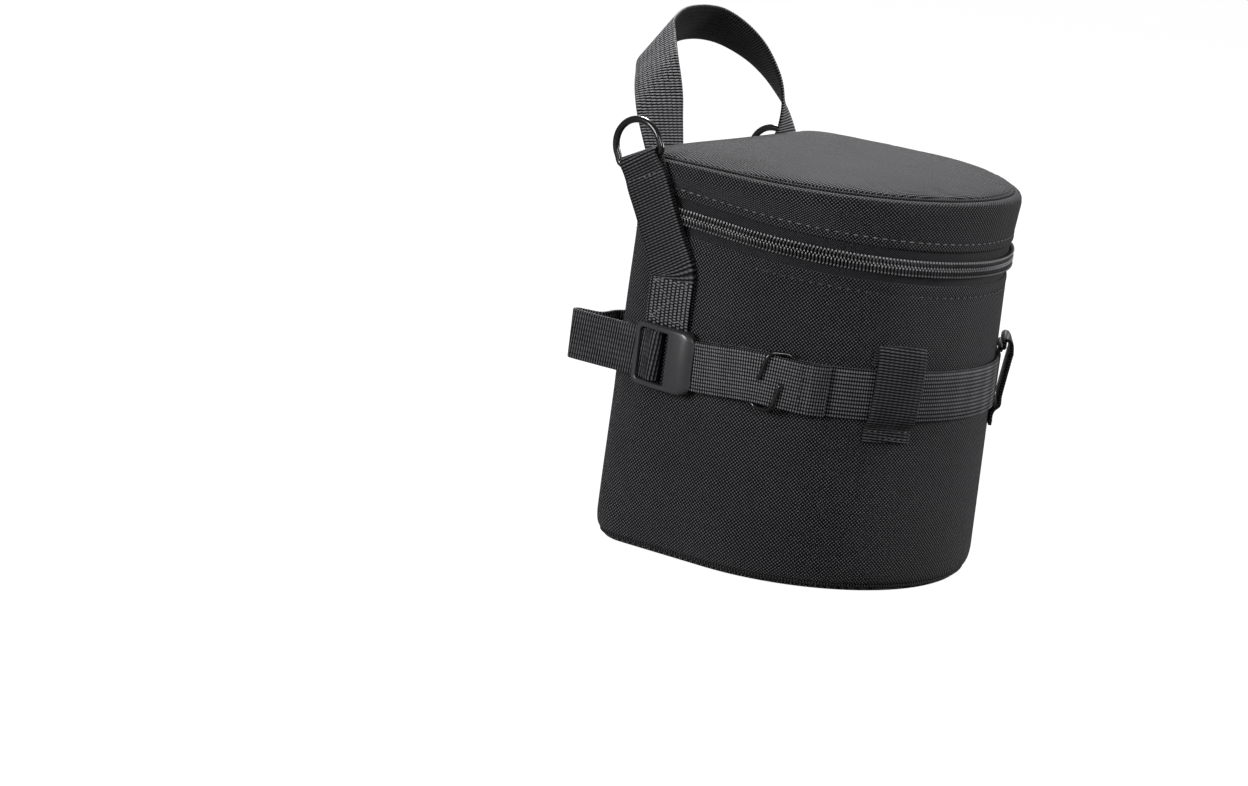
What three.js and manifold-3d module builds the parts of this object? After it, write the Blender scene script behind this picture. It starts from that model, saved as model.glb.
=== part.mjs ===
// A padded lens pouch with a D-shaped plan and a zipped, hinged lid, in millimetres, +Z up.
// The origin lies on the underside, at the centre of the round front. The flat back faces +Y.
import * as THREE from 'three';
import { mergeVertices } from 'three/addons/utils/BufferGeometryUtils.js';
import Module from 'manifold-3d';

const wasm = await Module();
wasm.setup();

const degree = Math.PI / 180;

// Clearances and cloth
const gap = 0.3;
const overrun = 0.6;
const fabric = 1.2;
const foam = 10;
const lining = 1;
const webbingWidth = 20;
const webbing = 1.4;

// Case plan: a round front that runs into two rounded back corners
const frontRadius = 70;
const backWidth = 138;
const backDepth = 57;
const cornerRadius = 15;

// Case heights, at the middle of the plan; the zip plane rises towards the back
const mouthHeight = 127;
const zipRise = 7;
const zipHeight = mouthHeight + zipRise;
const skirtRise = 5.5;
const skirtHeight = zipHeight + skirtRise;
const skirtDepth = 16.5;
const seamHeight = skirtHeight + skirtDepth;
const zipSlope = 0.06;
const flare = 2;
const lidInset = 1.6;
const skirtFlare = 0.6;
const domeRise = 4;
const pipingRadius = 1.5;
const baseEdge = 4;
const baseInset = 5;
const bottomFoam = 8;
const lidFoam = 8;
const tapeTuck = 5;

// Zip
const tape = 0.9;
const coilHeight = 3;
const coilDepth = 2.2;

// Carry handle
const handleSpan = 92;
const handleRise = 71;
const handleBack = 30;
const handleSway = 8;

// Front strap with its tail
const strapHeight = 80;
const strapStart = 162;
const tailLift = 5.6;
const tailRestLift = 3.6;
const tailEnd = 70;
const tailTaper = 6;

// Ring tabs near the back corners
const leftTabAt = 138.4;
const rightTabAt = 143.5;
const tabWidth = 20;
const tabThickness = 2.8;
const tabAboveStrap = 3;
const tabFoot = strapHeight + webbingWidth / 2 + tabAboveStrap;
const tabSewn = 20;
const tabReach = 47;
const tabStandOff = 1.5;
const tabShoulder = 6.2;
const leftTabAngle = 26;
const rightTabAngle = 53;
const leftTabSplay = 2.5;
const rightTabSplay = 0;

// D-rings
const ringRadius = 10.4;
const ringWire = 1.4;
const ringWidth = 21;
const ringDepth = 5.2;
const ringCorner = 1.5;

// Ladder lock buckle
const buckleAt = 136.6;
const buckleLength = 29;
const buckleWidth = 25;
const buckleArm = 2;
const barRadius = 1.1;
const lipLength = 12;
const lipThickness = 2;
const adjustBarInset = 7;
const fixedBarInset = 20;
const endBarLength = 1.8;

// Wire keeper on the tail
const keeperAt = 90.5;
const keeperWire = 0.8;
const keeperWidth = 13.4;

// Side loop behind the back corner
const loopReach = 70;
const loopLanding = 44;
const loopLandingLength = 16;

// Attachment loops on the front
const leftLoopAt = 44.6;
const rightLoopAt = -37;
const frontLoopDrop = 8;
const frontLoopFoot = strapHeight - webbingWidth / 2 - frontLoopDrop;
const frontLoopRise = 12;
const leftLoopTop = strapHeight + webbingWidth / 2 + frontLoopRise;
const rightLoopSag = 4;
const rightLoopTop = leftLoopTop - rightLoopSag;
const leftLoopStandOff = 7.6;
const rightLoopStandOff = 6.6;
const rightLoopSlant = 0.4;
const frontLoopTuck = 2;
const frontLoopEnd = strapHeight + webbingWidth / 2 + frontLoopTuck;

// Zip slider and pull
const sliderLength = 12;
const sliderHeight = 9;
const sliderPlate = 1.6;
const sliderLift = 1;
const crownBar = 0.8;
const crownPost = 1.6;
const pullLength = 22;
const pullWidth = 6;
const pullThickness = 1.6;
const eyeHole = 1.5;
const eyeRadius = 2.6;

// Mesh fineness
const frontSteps = 12;
const cornerSteps = 4;
const ringSteps = 5;
const ringTurns = 2;
const keeperSteps = 40;
const turnSteps = 6;
const cordSides = 6;
const wireSides = 8;

// A mesh geometry from vertices and triangles, turned so that its faces point outwards.
function closedGeometry(vertices, triangles) {
  const a = new THREE.Vector3();
  const b = new THREE.Vector3();
  const c = new THREE.Vector3();
  let volume = 0;
  for (let i = 0; i < triangles.length; i += 3) {
    a.copy(vertices[triangles[i]]);
    b.copy(vertices[triangles[i + 1]]);
    c.copy(vertices[triangles[i + 2]]);
    volume += a.dot(b.cross(c));
  }
  const index = volume < 0 ? triangles.slice().reverse() : triangles;
  const geometry = new THREE.BufferGeometry().setFromPoints(vertices);
  geometry.setIndex(index);
  return geometry;
}

// Bodies from geometries, and back, for joining and cutting.
function toBody(geometry) {
  const bare = geometry.clone();
  bare.deleteAttribute('normal');
  bare.deleteAttribute('uv');
  const merged = mergeVertices(bare, 1e-4);
  const vertProperties = new Float32Array(merged.attributes.position.array);
  const triVerts = new Uint32Array(merged.index.array);
  return new wasm.Manifold(new wasm.Mesh({ numProp: 3, vertProperties, triVerts }));
}

function fromBody(body) {
  const mesh = body.getMesh();
  const geometry = new THREE.BufferGeometry();
  geometry.setAttribute('position', new THREE.BufferAttribute(mesh.vertProperties, 3));
  geometry.setIndex(new THREE.BufferAttribute(mesh.triVerts, 1));
  return geometry;
}

function join(...geometries) {
  return fromBody(geometries.map(toBody).reduce((whole, next) => whole.add(next)));
}

// A D-shaped outline: a round front and two rounded back corners, joined by tangents.
// A place on it is s, the distance along the wall from the front's middle, positive to -X.
class DPlan {
  constructor(radius, width, depth, corner) {
    this.radius = radius;
    this.corner = corner;
    this.depth = depth;
    this.centre = new THREE.Vector2(width / 2 - corner, depth - corner);
    const lean = Math.acos((radius - corner) / this.centre.length());
    this.sideAngle = this.centre.angle() - lean;
    this.side = Math.sqrt(this.centre.lengthSq() - (radius - corner) ** 2);
    this.front = radius * (Math.PI / 2 + this.sideAngle);
    this.turn = corner * (Math.PI / 2 - this.sideAngle);
    this.cornerEnd = this.front + this.side + this.turn;
    this.half = this.cornerEnd + this.centre.x;
  }

  // The point at s, moved outwards by lift, and the outward normal there.
  at(s, lift = 0) {
    const mirror = s > 0 ? -1 : 1;
    const d = Math.abs(s);
    let angle = this.sideAngle;
    const point = new THREE.Vector2();
    if (d <= this.front) {
      angle = d / this.radius - Math.PI / 2;
      point.set(Math.cos(angle), Math.sin(angle)).multiplyScalar(this.radius);
    } else if (d <= this.front + this.side) {
      point.set(Math.cos(angle), Math.sin(angle)).multiplyScalar(this.radius);
      point.x -= Math.sin(angle) * (d - this.front);
      point.y += Math.cos(angle) * (d - this.front);
    } else if (d <= this.cornerEnd) {
      angle += (d - this.front - this.side) / this.corner;
      point.set(Math.cos(angle), Math.sin(angle)).multiplyScalar(this.corner).add(this.centre);
    } else {
      angle = Math.PI / 2;
      point.set(this.centre.x - (d - this.cornerEnd), this.depth);
    }
    const normal = new THREE.Vector2(Math.cos(angle), Math.sin(angle));
    point.addScaledVector(normal, lift);
    point.x *= mirror;
    normal.x *= mirror;
    return { point, normal };
  }

  // Places along the outline from one distance to another, with every bend's steps.
  places(from, to, steps = frontSteps, turns = cornerSteps) {
    const marks = [0];
    for (let i = 1; i <= steps; i += 1) marks.push((this.front * i) / steps);
    marks.push(this.front + this.side);
    for (let i = 1; i <= turns; i += 1) marks.push(this.cornerEnd - this.turn * (1 - i / turns));
    const both = [...marks.slice(1).map((s) => -s).reverse(), ...marks];
    const low = Math.min(from, to);
    const high = Math.max(from, to);
    const inner = both.filter((s) => s > low + overrun && s < high - overrun);
    const list = [low, ...inner, high];
    return from < to ? list : list.reverse();
  }
}

const plan = new DPlan(frontRadius, backWidth, backDepth, cornerRadius);
const ringPlan = new DPlan(ringRadius, ringWidth, ringDepth, ringCorner);
const planMiddle = new THREE.Vector2(0, (backDepth - frontRadius) / 2);

// How far the case wall stands out of the plan at a height.
function wallLift(height) {
  return flare * (1 - height / mouthHeight);
}

// A ring or strip of constant section along an outline. Each section point is its lift, its height
// and whether that height follows the slope of the zip.
function wallSweep(outline, places, section, closed) {
  const vertices = [];
  const triangles = [];
  const n = section.length;
  for (const s of places) {
    for (const [lift, height, sloped] of section) {
      const { point } = outline.at(s, lift);
      vertices.push(new THREE.Vector3(point.x, point.y, height + (sloped ? zipSlope * point.y : 0)));
    }
  }
  const rows = closed ? places.length : places.length - 1;
  for (let i = 0; i < rows; i += 1) {
    const a = i * n;
    const b = ((i + 1) % places.length) * n;
    for (let j = 0; j < n; j += 1) {
      const k = (j + 1) % n;
      triangles.push(a + j, b + j, b + k, a + j, b + k, a + k);
    }
  }
  if (!closed) {
    const flat = section.map(([lift, height]) => new THREE.Vector2(lift, height));
    const end = (places.length - 1) * n;
    const turn = THREE.ShapeUtils.isClockWise(flat);
    for (const [p, q, r] of THREE.ShapeUtils.triangulateShape(flat, [])) {
      triangles.push(...(turn ? [r, q, p] : [p, q, r]).map((v) => v));
      triangles.push(...(turn ? [p, q, r] : [r, q, p]).map((v) => v + end));
    }
  }
  return closedGeometry(vertices, triangles);
}

// All the way round an outline.
function ringOf(outline, section, steps, turns) {
  const places = outline.places(-outline.half, outline.half, steps, turns).slice(1);
  return wallSweep(outline, places, section, true);
}

// A panel or cup that fills the plan: rings from its underside's middle to its top's middle.
// Each ring is its lift, its height, whether it follows the zip's slope, and its share of the plan.
function panelOf(rings) {
  const places = plan.places(-plan.half, plan.half).slice(1);
  const n = places.length;
  const vertices = [];
  const triangles = [];
  for (const [lift, height, sloped, share = 1] of rings) {
    for (const s of places) {
      const point = plan.at(s, lift).point.sub(planMiddle).multiplyScalar(share).add(planMiddle);
      vertices.push(new THREE.Vector3(point.x, point.y, height + (sloped ? zipSlope * point.y : 0)));
    }
  }
  for (let i = 0; i + 1 < rings.length; i += 1) {
    for (let j = 0; j < n; j += 1) {
      const k = (j + 1) % n;
      const a = i * n;
      const b = a + n;
      triangles.push(a + j, a + k, b + k, a + j, b + k, b + j);
    }
  }
  const first = vertices.length;
  const last = (rings.length - 1) * n;
  vertices.push(new THREE.Vector3(planMiddle.x, planMiddle.y, rings[0][1]));
  vertices.push(new THREE.Vector3(planMiddle.x, planMiddle.y, rings[rings.length - 1][1]));
  for (let j = 0; j < n; j += 1) {
    const k = (j + 1) % n;
    triangles.push(first, k, j, first + 1, last + j, last + k);
  }
  return closedGeometry(vertices, triangles);
}

// A round cord's section at a lift and a height.
function cordSection(lift, height, radius, sides = cordSides, sloped = false) {
  return Array.from({ length: sides }, (_, i) => {
    const angle = (2 * Math.PI * (i + 0.5)) / sides;
    return [lift + radius * Math.cos(angle), height + radius * Math.sin(angle), sloped];
  });
}

// The outline of a strip of webbing seen on its edge, along a path of 2D points.
function edgeShape(path, thickness) {
  const left = [];
  const right = [];
  path.forEach((point, i) => {
    const before = path[Math.max(i - 1, 0)];
    const after = path[Math.min(i + 1, path.length - 1)];
    const into = point.clone().sub(before).normalize();
    const out = after.clone().sub(point).normalize();
    const along = into.add(out).normalize();
    const next = i + 1 < path.length ? after.clone().sub(point) : point.clone().sub(before);
    const miter = Math.max(Math.abs(along.dot(next.normalize())), 0.5);
    const across = new THREE.Vector2(-along.y, along.x).multiplyScalar(thickness / 2 / miter);
    left.push(point.clone().add(across));
    right.push(point.clone().sub(across));
  });
  return new THREE.Shape([...left, ...right.reverse()]);
}

// A plan shape raised from one height to another.
function raise(shape, low, high) {
  const geometry = new THREE.ExtrudeGeometry(shape, { depth: high - low, bevelEnabled: false });
  return geometry.translate(0, 0, low);
}

// A box between two corners.
function block(low, high) {
  const size = high.clone().sub(low);
  const middle = high.clone().add(low).multiplyScalar(0.5);
  return new THREE.BoxGeometry(size.x, size.y, size.z).translate(middle.x, middle.y, middle.z);
}

// Moves a geometry from local axes to three given directions at an origin.
function place(geometry, origin, x, y, z) {
  return geometry.applyMatrix4(new THREE.Matrix4().makeBasis(x, y, z).setPosition(origin));
}

// A point on the case wall in space.
function onWall(s, lift, height) {
  const { point } = plan.at(s, lift);
  return new THREE.Vector3(point.x, point.y, height);
}

// Local axes on the wall: x towards larger s, y up, z outwards.
function wallFrame(s) {
  const { normal } = plan.at(s);
  const out = new THREE.Vector3(normal.x, normal.y, 0);
  const up = new THREE.Vector3(0, 0, 1);
  return { along: up.clone().cross(out), up, out };
}

// A flat ribbon of webbing through stations, each with a point and the direction of its width.
function ribbon(stations, width, thickness) {
  const corners = [[-1, -1], [1, -1], [1, 1], [-1, 1]];
  const n = corners.length;
  const vertices = [];
  const triangles = [];
  stations.forEach(({ point, across }, i) => {
    const before = stations[Math.max(i - 1, 0)].point;
    const after = stations[Math.min(i + 1, stations.length - 1)].point;
    const along = after.clone().sub(before).normalize();
    const thick = along.cross(across).normalize();
    for (const [a, b] of corners) {
      const corner = point.clone().addScaledVector(across, (a * width) / 2);
      vertices.push(corner.addScaledVector(thick, (b * thickness) / 2));
    }
  });
  const end = (stations.length - 1) * n;
  for (let a = 0; a < end; a += n) {
    for (let j = 0; j < n; j += 1) {
      const k = (j + 1) % n;
      triangles.push(a + j, a + k, a + n + k, a + j, a + n + k, a + n + j);
    }
  }
  for (let j = 1; j + 1 < n; j += 1) triangles.push(0, j + 1, j, end, end + j, end + j + 1);
  return closedGeometry(vertices, triangles);
}

// Finishes
const finishes = {
  shellCloth: new THREE.MeshStandardMaterial({ color: 0x2a2a2c, roughness: 0.85, metalness: 0 }),
  pipingCloth: new THREE.MeshStandardMaterial({ color: 0x242426, roughness: 0.8, metalness: 0 }),
  webbingCloth: new THREE.MeshStandardMaterial({ color: 0x333336, roughness: 0.7, metalness: 0 }),
  tapeCloth: new THREE.MeshStandardMaterial({ color: 0x222224, roughness: 0.9, metalness: 0 }),
  coilPlastic: new THREE.MeshStandardMaterial({ color: 0x39393b, roughness: 0.4, metalness: 0 }),
  liningCloth: new THREE.MeshStandardMaterial({ color: 0x8a8c8e, roughness: 0.95, metalness: 0 }),
  foam: new THREE.MeshStandardMaterial({ color: 0x55575a, roughness: 1, metalness: 0 }),
  bucklePlastic: new THREE.MeshStandardMaterial({ color: 0x2e2f31, roughness: 0.45, metalness: 0 }),
  blackMetal: new THREE.MeshStandardMaterial({ color: 0x1c1c1e, roughness: 0.25, metalness: 0.8 }),
};

const part = new THREE.Group();

function add(name, geometry, finish) {
  const mesh = new THREE.Mesh(geometry, finishes[finish]);
  mesh.name = name;
  part.add(mesh);
}

// Case shell: the wrap runs from corner to corner and the back panel closes it
const zipEnd = plan.cornerEnd - plan.turn / cornerSteps;
const wrapEnd = plan.cornerEnd - gap;
const wallFoot = wallLift(baseEdge);
const wallSection = [
  [0, mouthHeight, true],
  [wallLift(baseEdge * 2), baseEdge * 2, false],
  [wallFoot - pipingRadius, baseEdge + pipingRadius, false],
  [wallFoot - pipingRadius - fabric, baseEdge + pipingRadius, false],
  [wallLift(baseEdge * 2) - fabric, baseEdge * 2, false],
  [-fabric, mouthHeight, true],
];
const wrapPlaces = plan.places(-wrapEnd, wrapEnd);
add('body_wrap', wallSweep(plan, wrapPlaces, wallSection, false), 'shellCloth');

const backPlaces = [plan.cornerEnd, plan.half];
const backHalf = [...backPlaces, ...backPlaces.map((s) => -s).reverse().slice(1)];
add('back_panel', wallSweep(plan, backHalf, wallSection, false), 'shellCloth');

const pipingLift = wallFoot - 2 * pipingRadius;
const pipingHeight = baseEdge - gap;
const bottomPiping = cordSection(pipingLift, pipingHeight, pipingRadius);
add('bottom_piping', ringOf(plan, bottomPiping), 'pipingCloth');

const bottomRim = pipingLift - pipingRadius - gap;
add('bottom_panel', panelOf([
  [bottomRim - baseInset, 0],
  [bottomRim, baseEdge - pipingRadius - fabric],
  [bottomRim, baseEdge - pipingRadius],
  [bottomRim - baseInset, fabric],
]), 'shellCloth');

// Case filling: foam wall and floor, lining and the binding round the mouth
const tapeOuter = -fabric - gap;
const tapeInner = tapeOuter - tape;
const foamOuter = tapeInner - gap;
const foamInner = foamOuter - foam;
const liningInner = foamInner - gap - lining;
const rim = zipHeight - gap - gap / 3;
const bindingFoot = rim - lining;
const foamTop = bindingFoot - gap;
const foamFoot = baseEdge + pipingRadius + gap;
add('wall_padding', ringOf(plan, [
  [foamOuter, foamTop, true],
  [foamOuter, mouthHeight - tapeTuck - gap, true],
  [-fabric - gap, mouthHeight - tapeTuck - gap - fabric, true],
  [wallLift(baseEdge * 2) - fabric - gap, baseEdge * 2 + gap, false],
  [pipingLift - pipingRadius - gap, foamFoot, false],
  [foamInner, foamFoot, false],
  [foamInner, foamTop, true],
]), 'foam');

const floorFoot = fabric + gap;
const floorTop = floorFoot + bottomFoam;
add('bottom_padding', panelOf([
  [foamInner - gap, floorFoot],
  [foamInner - gap, floorTop],
]), 'foam');

const liningFloor = floorTop + gap;
add('body_lining', panelOf([
  [foamInner - gap, liningFloor],
  [foamInner - gap, foamTop, true],
  [liningInner, foamTop, true],
  [liningInner, liningFloor + lining],
]), 'liningCloth');

add('mouth_binding', ringOf(plan, [
  [foamOuter, rim, true],
  [foamOuter, bindingFoot, true],
  [liningInner, bindingFoot, true],
  [liningInner, rim, true],
]), 'tapeCloth');

// Lid shell: domed top, corded seam and skirt
const domeShares = [
  [1, 0],
  [0.97, 0.3],
  [0.88, 0.62],
  [0.7, 0.85],
  [0.4, 0.97],
];
const domeFoot = seamHeight + pipingRadius;
const topLift = -lidInset - pipingRadius - gap;
const domeRings = domeShares.map(([share, rise]) => [topLift, domeFoot + rise * domeRise, false, share]);
const domeUnder = domeRings.map(([lift, height, sloped, share]) => [lift, height - fabric, sloped, share]);
add('lid_top_panel', panelOf([...domeUnder.reverse(), ...domeRings]), 'shellCloth');

add('lid_piping', ringOf(plan, cordSection(-lidInset, seamHeight, pipingRadius)), 'pipingCloth');

const skirtTop = seamHeight - pipingRadius - gap;
add('lid_skirt', ringOf(plan, [
  [-lidInset, skirtTop, false],
  [skirtFlare, skirtHeight, true],
  [skirtFlare - fabric, skirtHeight, true],
  [-lidInset - fabric, skirtTop, false],
]), 'shellCloth');

// Lid filling
const lidRim = zipHeight + gap + gap / 3;
const lidBindingTop = lidRim + lining;
const lidFoamFoot = lidBindingTop + gap;
const lidTopInner = domeFoot - fabric - gap;
const lidCeiling = lidTopInner - lidFoam;
add('lid_binding', ringOf(plan, [
  [foamOuter, lidBindingTop, true],
  [foamOuter, lidRim, true],
  [liningInner, lidRim, true],
  [liningInner, lidBindingTop, true],
]), 'tapeCloth');

add('lid_wall_padding', ringOf(plan, [
  [foamOuter, lidCeiling - gap, false],
  [foamOuter, lidFoamFoot, true],
  [foamInner, lidFoamFoot, true],
  [foamInner, lidCeiling - gap, false],
]), 'foam');

const padEdge = -lidInset - pipingRadius - gap;
const padDome = domeShares.slice(1).map(([share, rise]) => (
  [padEdge, domeFoot + rise * domeRise - fabric - gap, false, share]
));
add('lid_top_padding', panelOf([
  [padEdge, lidCeiling],
  [padEdge, lidTopInner - gap],
  ...padDome,
]), 'foam');

add('lid_lining', panelOf([
  [liningInner, lidCeiling - gap - lining],
  [liningInner, lidFoamFoot, true],
  [foamInner - gap, lidFoamFoot, true],
  [foamInner - gap, lidCeiling - gap],
].reverse()), 'liningCloth');

// Zip: two tapes and two coils between the back corners
const zipPlaces = plan.places(-zipEnd, zipEnd);
const coilLift = tapeOuter + gap + coilDepth / 2;
const coilOffset = coilHeight / 2 + gap / 2;

function zipTape(low, high) {
  const section = [
    [tapeOuter, low, true],
    [tapeInner, low, true],
    [tapeInner, high, true],
    [tapeOuter, high, true],
  ];
  return wallSweep(plan, zipPlaces, section, false);
}

function zipCoil(height) {
  const section = cordSection(0, 0, 0.5).map(([lift, rise]) => (
    [coilLift + lift * coilDepth, height + rise * coilHeight, true]
  ));
  return wallSweep(plan, zipPlaces, section, false);
}

add('lower_zip_tape', zipTape(mouthHeight - tapeTuck, zipHeight - gap / 2), 'tapeCloth');
add('upper_zip_tape', zipTape(zipHeight + gap / 2, skirtHeight + tapeTuck / 2), 'tapeCloth');
add('lower_zip_coil', zipCoil(zipHeight - coilOffset), 'coilPlastic');
add('upper_zip_coil', zipCoil(zipHeight + coilOffset), 'coilPlastic');

// Hinge strips across the back, between the ends of the zip
const hingeHalf = zipEnd + gap;
const hingePlaces = plan.places(hingeHalf, plan.half);
const hingeRun = [...hingePlaces, ...hingePlaces.map((s) => -s).reverse().slice(1)];

function hingeStrip(low, high) {
  const section = [
    [tapeOuter, low, true],
    [tapeInner, low, true],
    [tapeInner, high, true],
    [tapeOuter, high, true],
  ];
  return wallSweep(plan, hingeRun, section, false);
}

add('hinge_strip', hingeStrip(mouthHeight - tapeTuck, zipHeight - gap / 2), 'tapeCloth');
add('lid_hinge_strip', hingeStrip(zipHeight + gap / 2, skirtHeight + tapeTuck / 2), 'tapeCloth');

// Carry handle: flat on the back at its feet. Its left leg faces the front and rolls over into an arch
// that leans back, and its right leg turns flat again. Each row gives the place of a station (sideways,
// up, back) and the strip's width there as a direction, longer than 1 where the strip is crossed askew.
const hingeY = backDepth + skirtFlare + gap;
const hingeZ = zipHeight + zipSlope * hingeY;
const handleShares = [
  [-0.49, 0, 0, 1, 0, 0],
  [-0.49, 0.124, 0.03, 0.996, -0.101, 0.016],
  [-0.489, 0.243, 0.105, 0.971, -0.219, 0.154],
  [-0.488, 0.357, 0.183, 0.916, -0.333, 0.333],
  [-0.487, 0.459, 0.248, 0.816, -0.463, 0.529],
  [-0.482, 0.55, 0.324, 0.729, -0.514, 0.69],
  [-0.458, 0.621, 0.425, 0.617, -0.527, 0.823],
  [-0.416, 0.682, 0.545, 0.564, -0.514, 0.874],
  [-0.364, 0.739, 0.669, 0.513, -0.495, 0.912],
  [-0.305, 0.795, 0.797, 0.453, -0.484, 0.932],
  [-0.222, 0.83, 0.874, 0.353, -0.492, 0.916],
  [-0.127, 0.854, 0.911, 0.223, -0.467, 0.916],
  [-0.027, 0.87, 0.919, 0.092, -0.517, 0.872],
  [0.073, 0.879, 0.902, -0.046, -0.602, 0.799],
  [0.166, 0.872, 0.839, -0.194, -0.658, 0.734],
  [0.248, 0.84, 0.722, -0.355, -0.7, 0.648],
  [0.317, 0.786, 0.574, -0.484, -0.704, 0.576],
  [0.374, 0.715, 0.417, -0.607, -0.682, 0.497],
  [0.416, 0.628, 0.27, -0.717, -0.634, 0.413],
  [0.447, 0.531, 0.144, -0.805, -0.569, 0.329],
  [0.466, 0.43, 0.053, -0.903, -0.446, 0.206],
  [0.476, 0.328, 0.011, -0.97, -0.276, 0.061],
  [0.482, 0.227, 0.01, -0.999, -0.041, -0.068],
  [0.487, 0.116, 0.025, -0.998, 0.08, -0.014],
  [0.49, 0, 0, -1, 0, 0],
];
const handleFoot = new THREE.Vector3(handleSway, hingeY + gap + webbing / 2, hingeZ + gap);
const handleStations = handleShares.map(([x, h, back, ...across]) => {
  const point = new THREE.Vector3(x * handleSpan, back * handleBack, h * handleRise).add(handleFoot);
  return { point, across: new THREE.Vector3(...across) };
});
add('carry_handle', ribbon(handleStations, webbingWidth, webbing), 'webbingCloth');

const anchorTop = hingeZ - gap;
for (const [name, side] of [['handle_anchor_left', -1], ['handle_anchor_right', 1]]) {
  const x = handleSway - side * handleSpan * handleShares[0][0];
  const face = backDepth + wallLift(tabFoot) + gap;
  const low = new THREE.Vector3(x - webbingWidth / 2, face, tabFoot);
  const high = new THREE.Vector3(x + webbingWidth / 2, face + webbing, anchorTop);
  add(name, block(low, high), 'webbingCloth');
}

// Ring tabs: sewn to the wall, then standing free and leaning back to the ring. The left one also leans
// outwards, so the lid swings past it
const eyeInner = ringWire + gap;
const eyeOuter = eyeInner + webbing;
const eyeWidth = ringWidth - 2 * ringCorner - gap;

function tabParts(s, lean, splayAngle) {
  const wall = wallFrame(s);
  const splay = splayAngle * degree;
  const up = wall.up.clone().multiplyScalar(Math.cos(splay)).addScaledVector(wall.out, Math.sin(splay));
  const out = wall.out.clone().multiplyScalar(Math.cos(splay)).addScaledVector(wall.up, -Math.sin(splay));
  const backwards = wall.along.clone().multiplyScalar(Math.sign(wall.along.y));
  const angle = lean * degree;
  const reach = up.clone().multiplyScalar(Math.cos(angle)).addScaledVector(backwards, Math.sin(angle));
  const foot = onWall(s, tabStandOff + tabThickness / 2, tabFoot + tabSewn);
  const head = foot.clone().addScaledVector(reach, tabReach);
  const forwards = backwards.clone().multiplyScalar(Math.cos(angle)).addScaledVector(up, -Math.sin(angle));
  return { wall, up, out, backwards, reach, foot, head, across: forwards };
}

function ringTab(s, lean, splayAngle) {
  const { wall, up, out, backwards, reach, foot, head, across } = tabParts(s, lean, splayAngle);
  const half = tabWidth / 2;
  const neck = eyeWidth / 2;
  const bend = half * Math.tan((lean * degree) / 2);
  const shoulder = tabReach - eyeOuter - tabShoulder;
  const along = new THREE.Vector2(Math.sin(lean * degree), Math.cos(lean * degree));
  const aside = new THREE.Vector2(along.y, -along.x);
  const upTo = (length, width) => along.clone().multiplyScalar(length).addScaledVector(aside, width);
  const outline = new THREE.Shape([
    new THREE.Vector2(-half, -tabSewn),
    new THREE.Vector2(half, -tabSewn),
    new THREE.Vector2(half, -bend),
    upTo(shoulder, half),
    upTo(tabReach - eyeOuter, neck),
    upTo(tabReach - eyeInner, neck),
    upTo(tabReach - eyeInner, -neck),
    upTo(tabReach - eyeOuter, -neck),
    upTo(shoulder, -half),
    new THREE.Vector2(-half, bend),
  ]);
  const free = new THREE.ExtrudeGeometry(outline, { depth: tabThickness, bevelEnabled: false });
  const handed = backwards.clone().cross(up);
  place(free.translate(0, 0, -tabThickness / 2), foot, backwards, up, handed);
  const sewn = block(
    new THREE.Vector3(-half, -tabSewn, -tabThickness / 2 - tabStandOff / 2),
    new THREE.Vector3(half, -bend, tabThickness / 2),
  );
  place(sewn, foot, wall.up.clone().cross(wall.out), wall.up, wall.out);
  const eye = new THREE.Shape().absarc(0, 0, eyeOuter, 0, 2 * Math.PI);
  eye.holes.push(new THREE.Path().absarc(0, 0, eyeInner, 0, 2 * Math.PI, true));
  const sleeve = new THREE.ExtrudeGeometry(eye, {
    depth: eyeWidth, bevelEnabled: false, curveSegments: 12,
  });
  place(sleeve.translate(0, 0, -eyeWidth / 2), head, out, reach, out.clone().cross(reach));
  const bore = new THREE.CylinderGeometry(eyeInner, eyeInner, tabWidth, 12);
  place(bore, head, out, across, out.clone().cross(across));
  const whole = toBody(free).add(toBody(sewn)).add(toBody(sleeve));
  return fromBody(whole.subtract(toBody(bore)));
}

function dRing(s, lean, splayAngle) {
  const { reach, head, across } = tabParts(s, lean, splayAngle);
  const loop = ringOf(ringPlan, cordSection(0, 0, ringWire, wireSides), ringSteps, ringTurns);
  loop.translate(0, -ringDepth, 0).rotateZ(Math.PI);
  return place(loop, head, across, reach, across.clone().cross(reach));
}

add('d_ring_tab_left', ringTab(leftTabAt, leftTabAngle, leftTabSplay), 'webbingCloth');
add('d_ring_left', dRing(leftTabAt, leftTabAngle, leftTabSplay), 'blackMetal');
add('d_ring_tab_right', ringTab(-rightTabAt, rightTabAngle, rightTabSplay), 'webbingCloth');
add('d_ring_right', dRing(-rightTabAt, rightTabAngle, rightTabSplay), 'blackMetal');

// Front strap: round the wall, about the buckle's bar and back over itself as the tail
const strapFoot = strapHeight - webbingWidth / 2;
const strapTop = strapHeight + webbingWidth / 2;
const strapLift = wallLift(strapFoot) + gap + webbing / 2;
const turnRadius = barRadius + gap + webbing / 2;
const barLift = strapLift + turnRadius;
const buckleFront = buckleAt - buckleLength / 2;
const adjustBar = buckleFront + adjustBarInset;
const fixedBar = buckleFront + fixedBarInset;

function turnAbout(s, lift, radius, from, to) {
  return Array.from({ length: turnSteps + 1 }, (_, i) => {
    const angle = from + ((to - from) * i) / turnSteps;
    return [s + radius * Math.cos(angle), lift + radius * Math.sin(angle)];
  });
}

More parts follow.
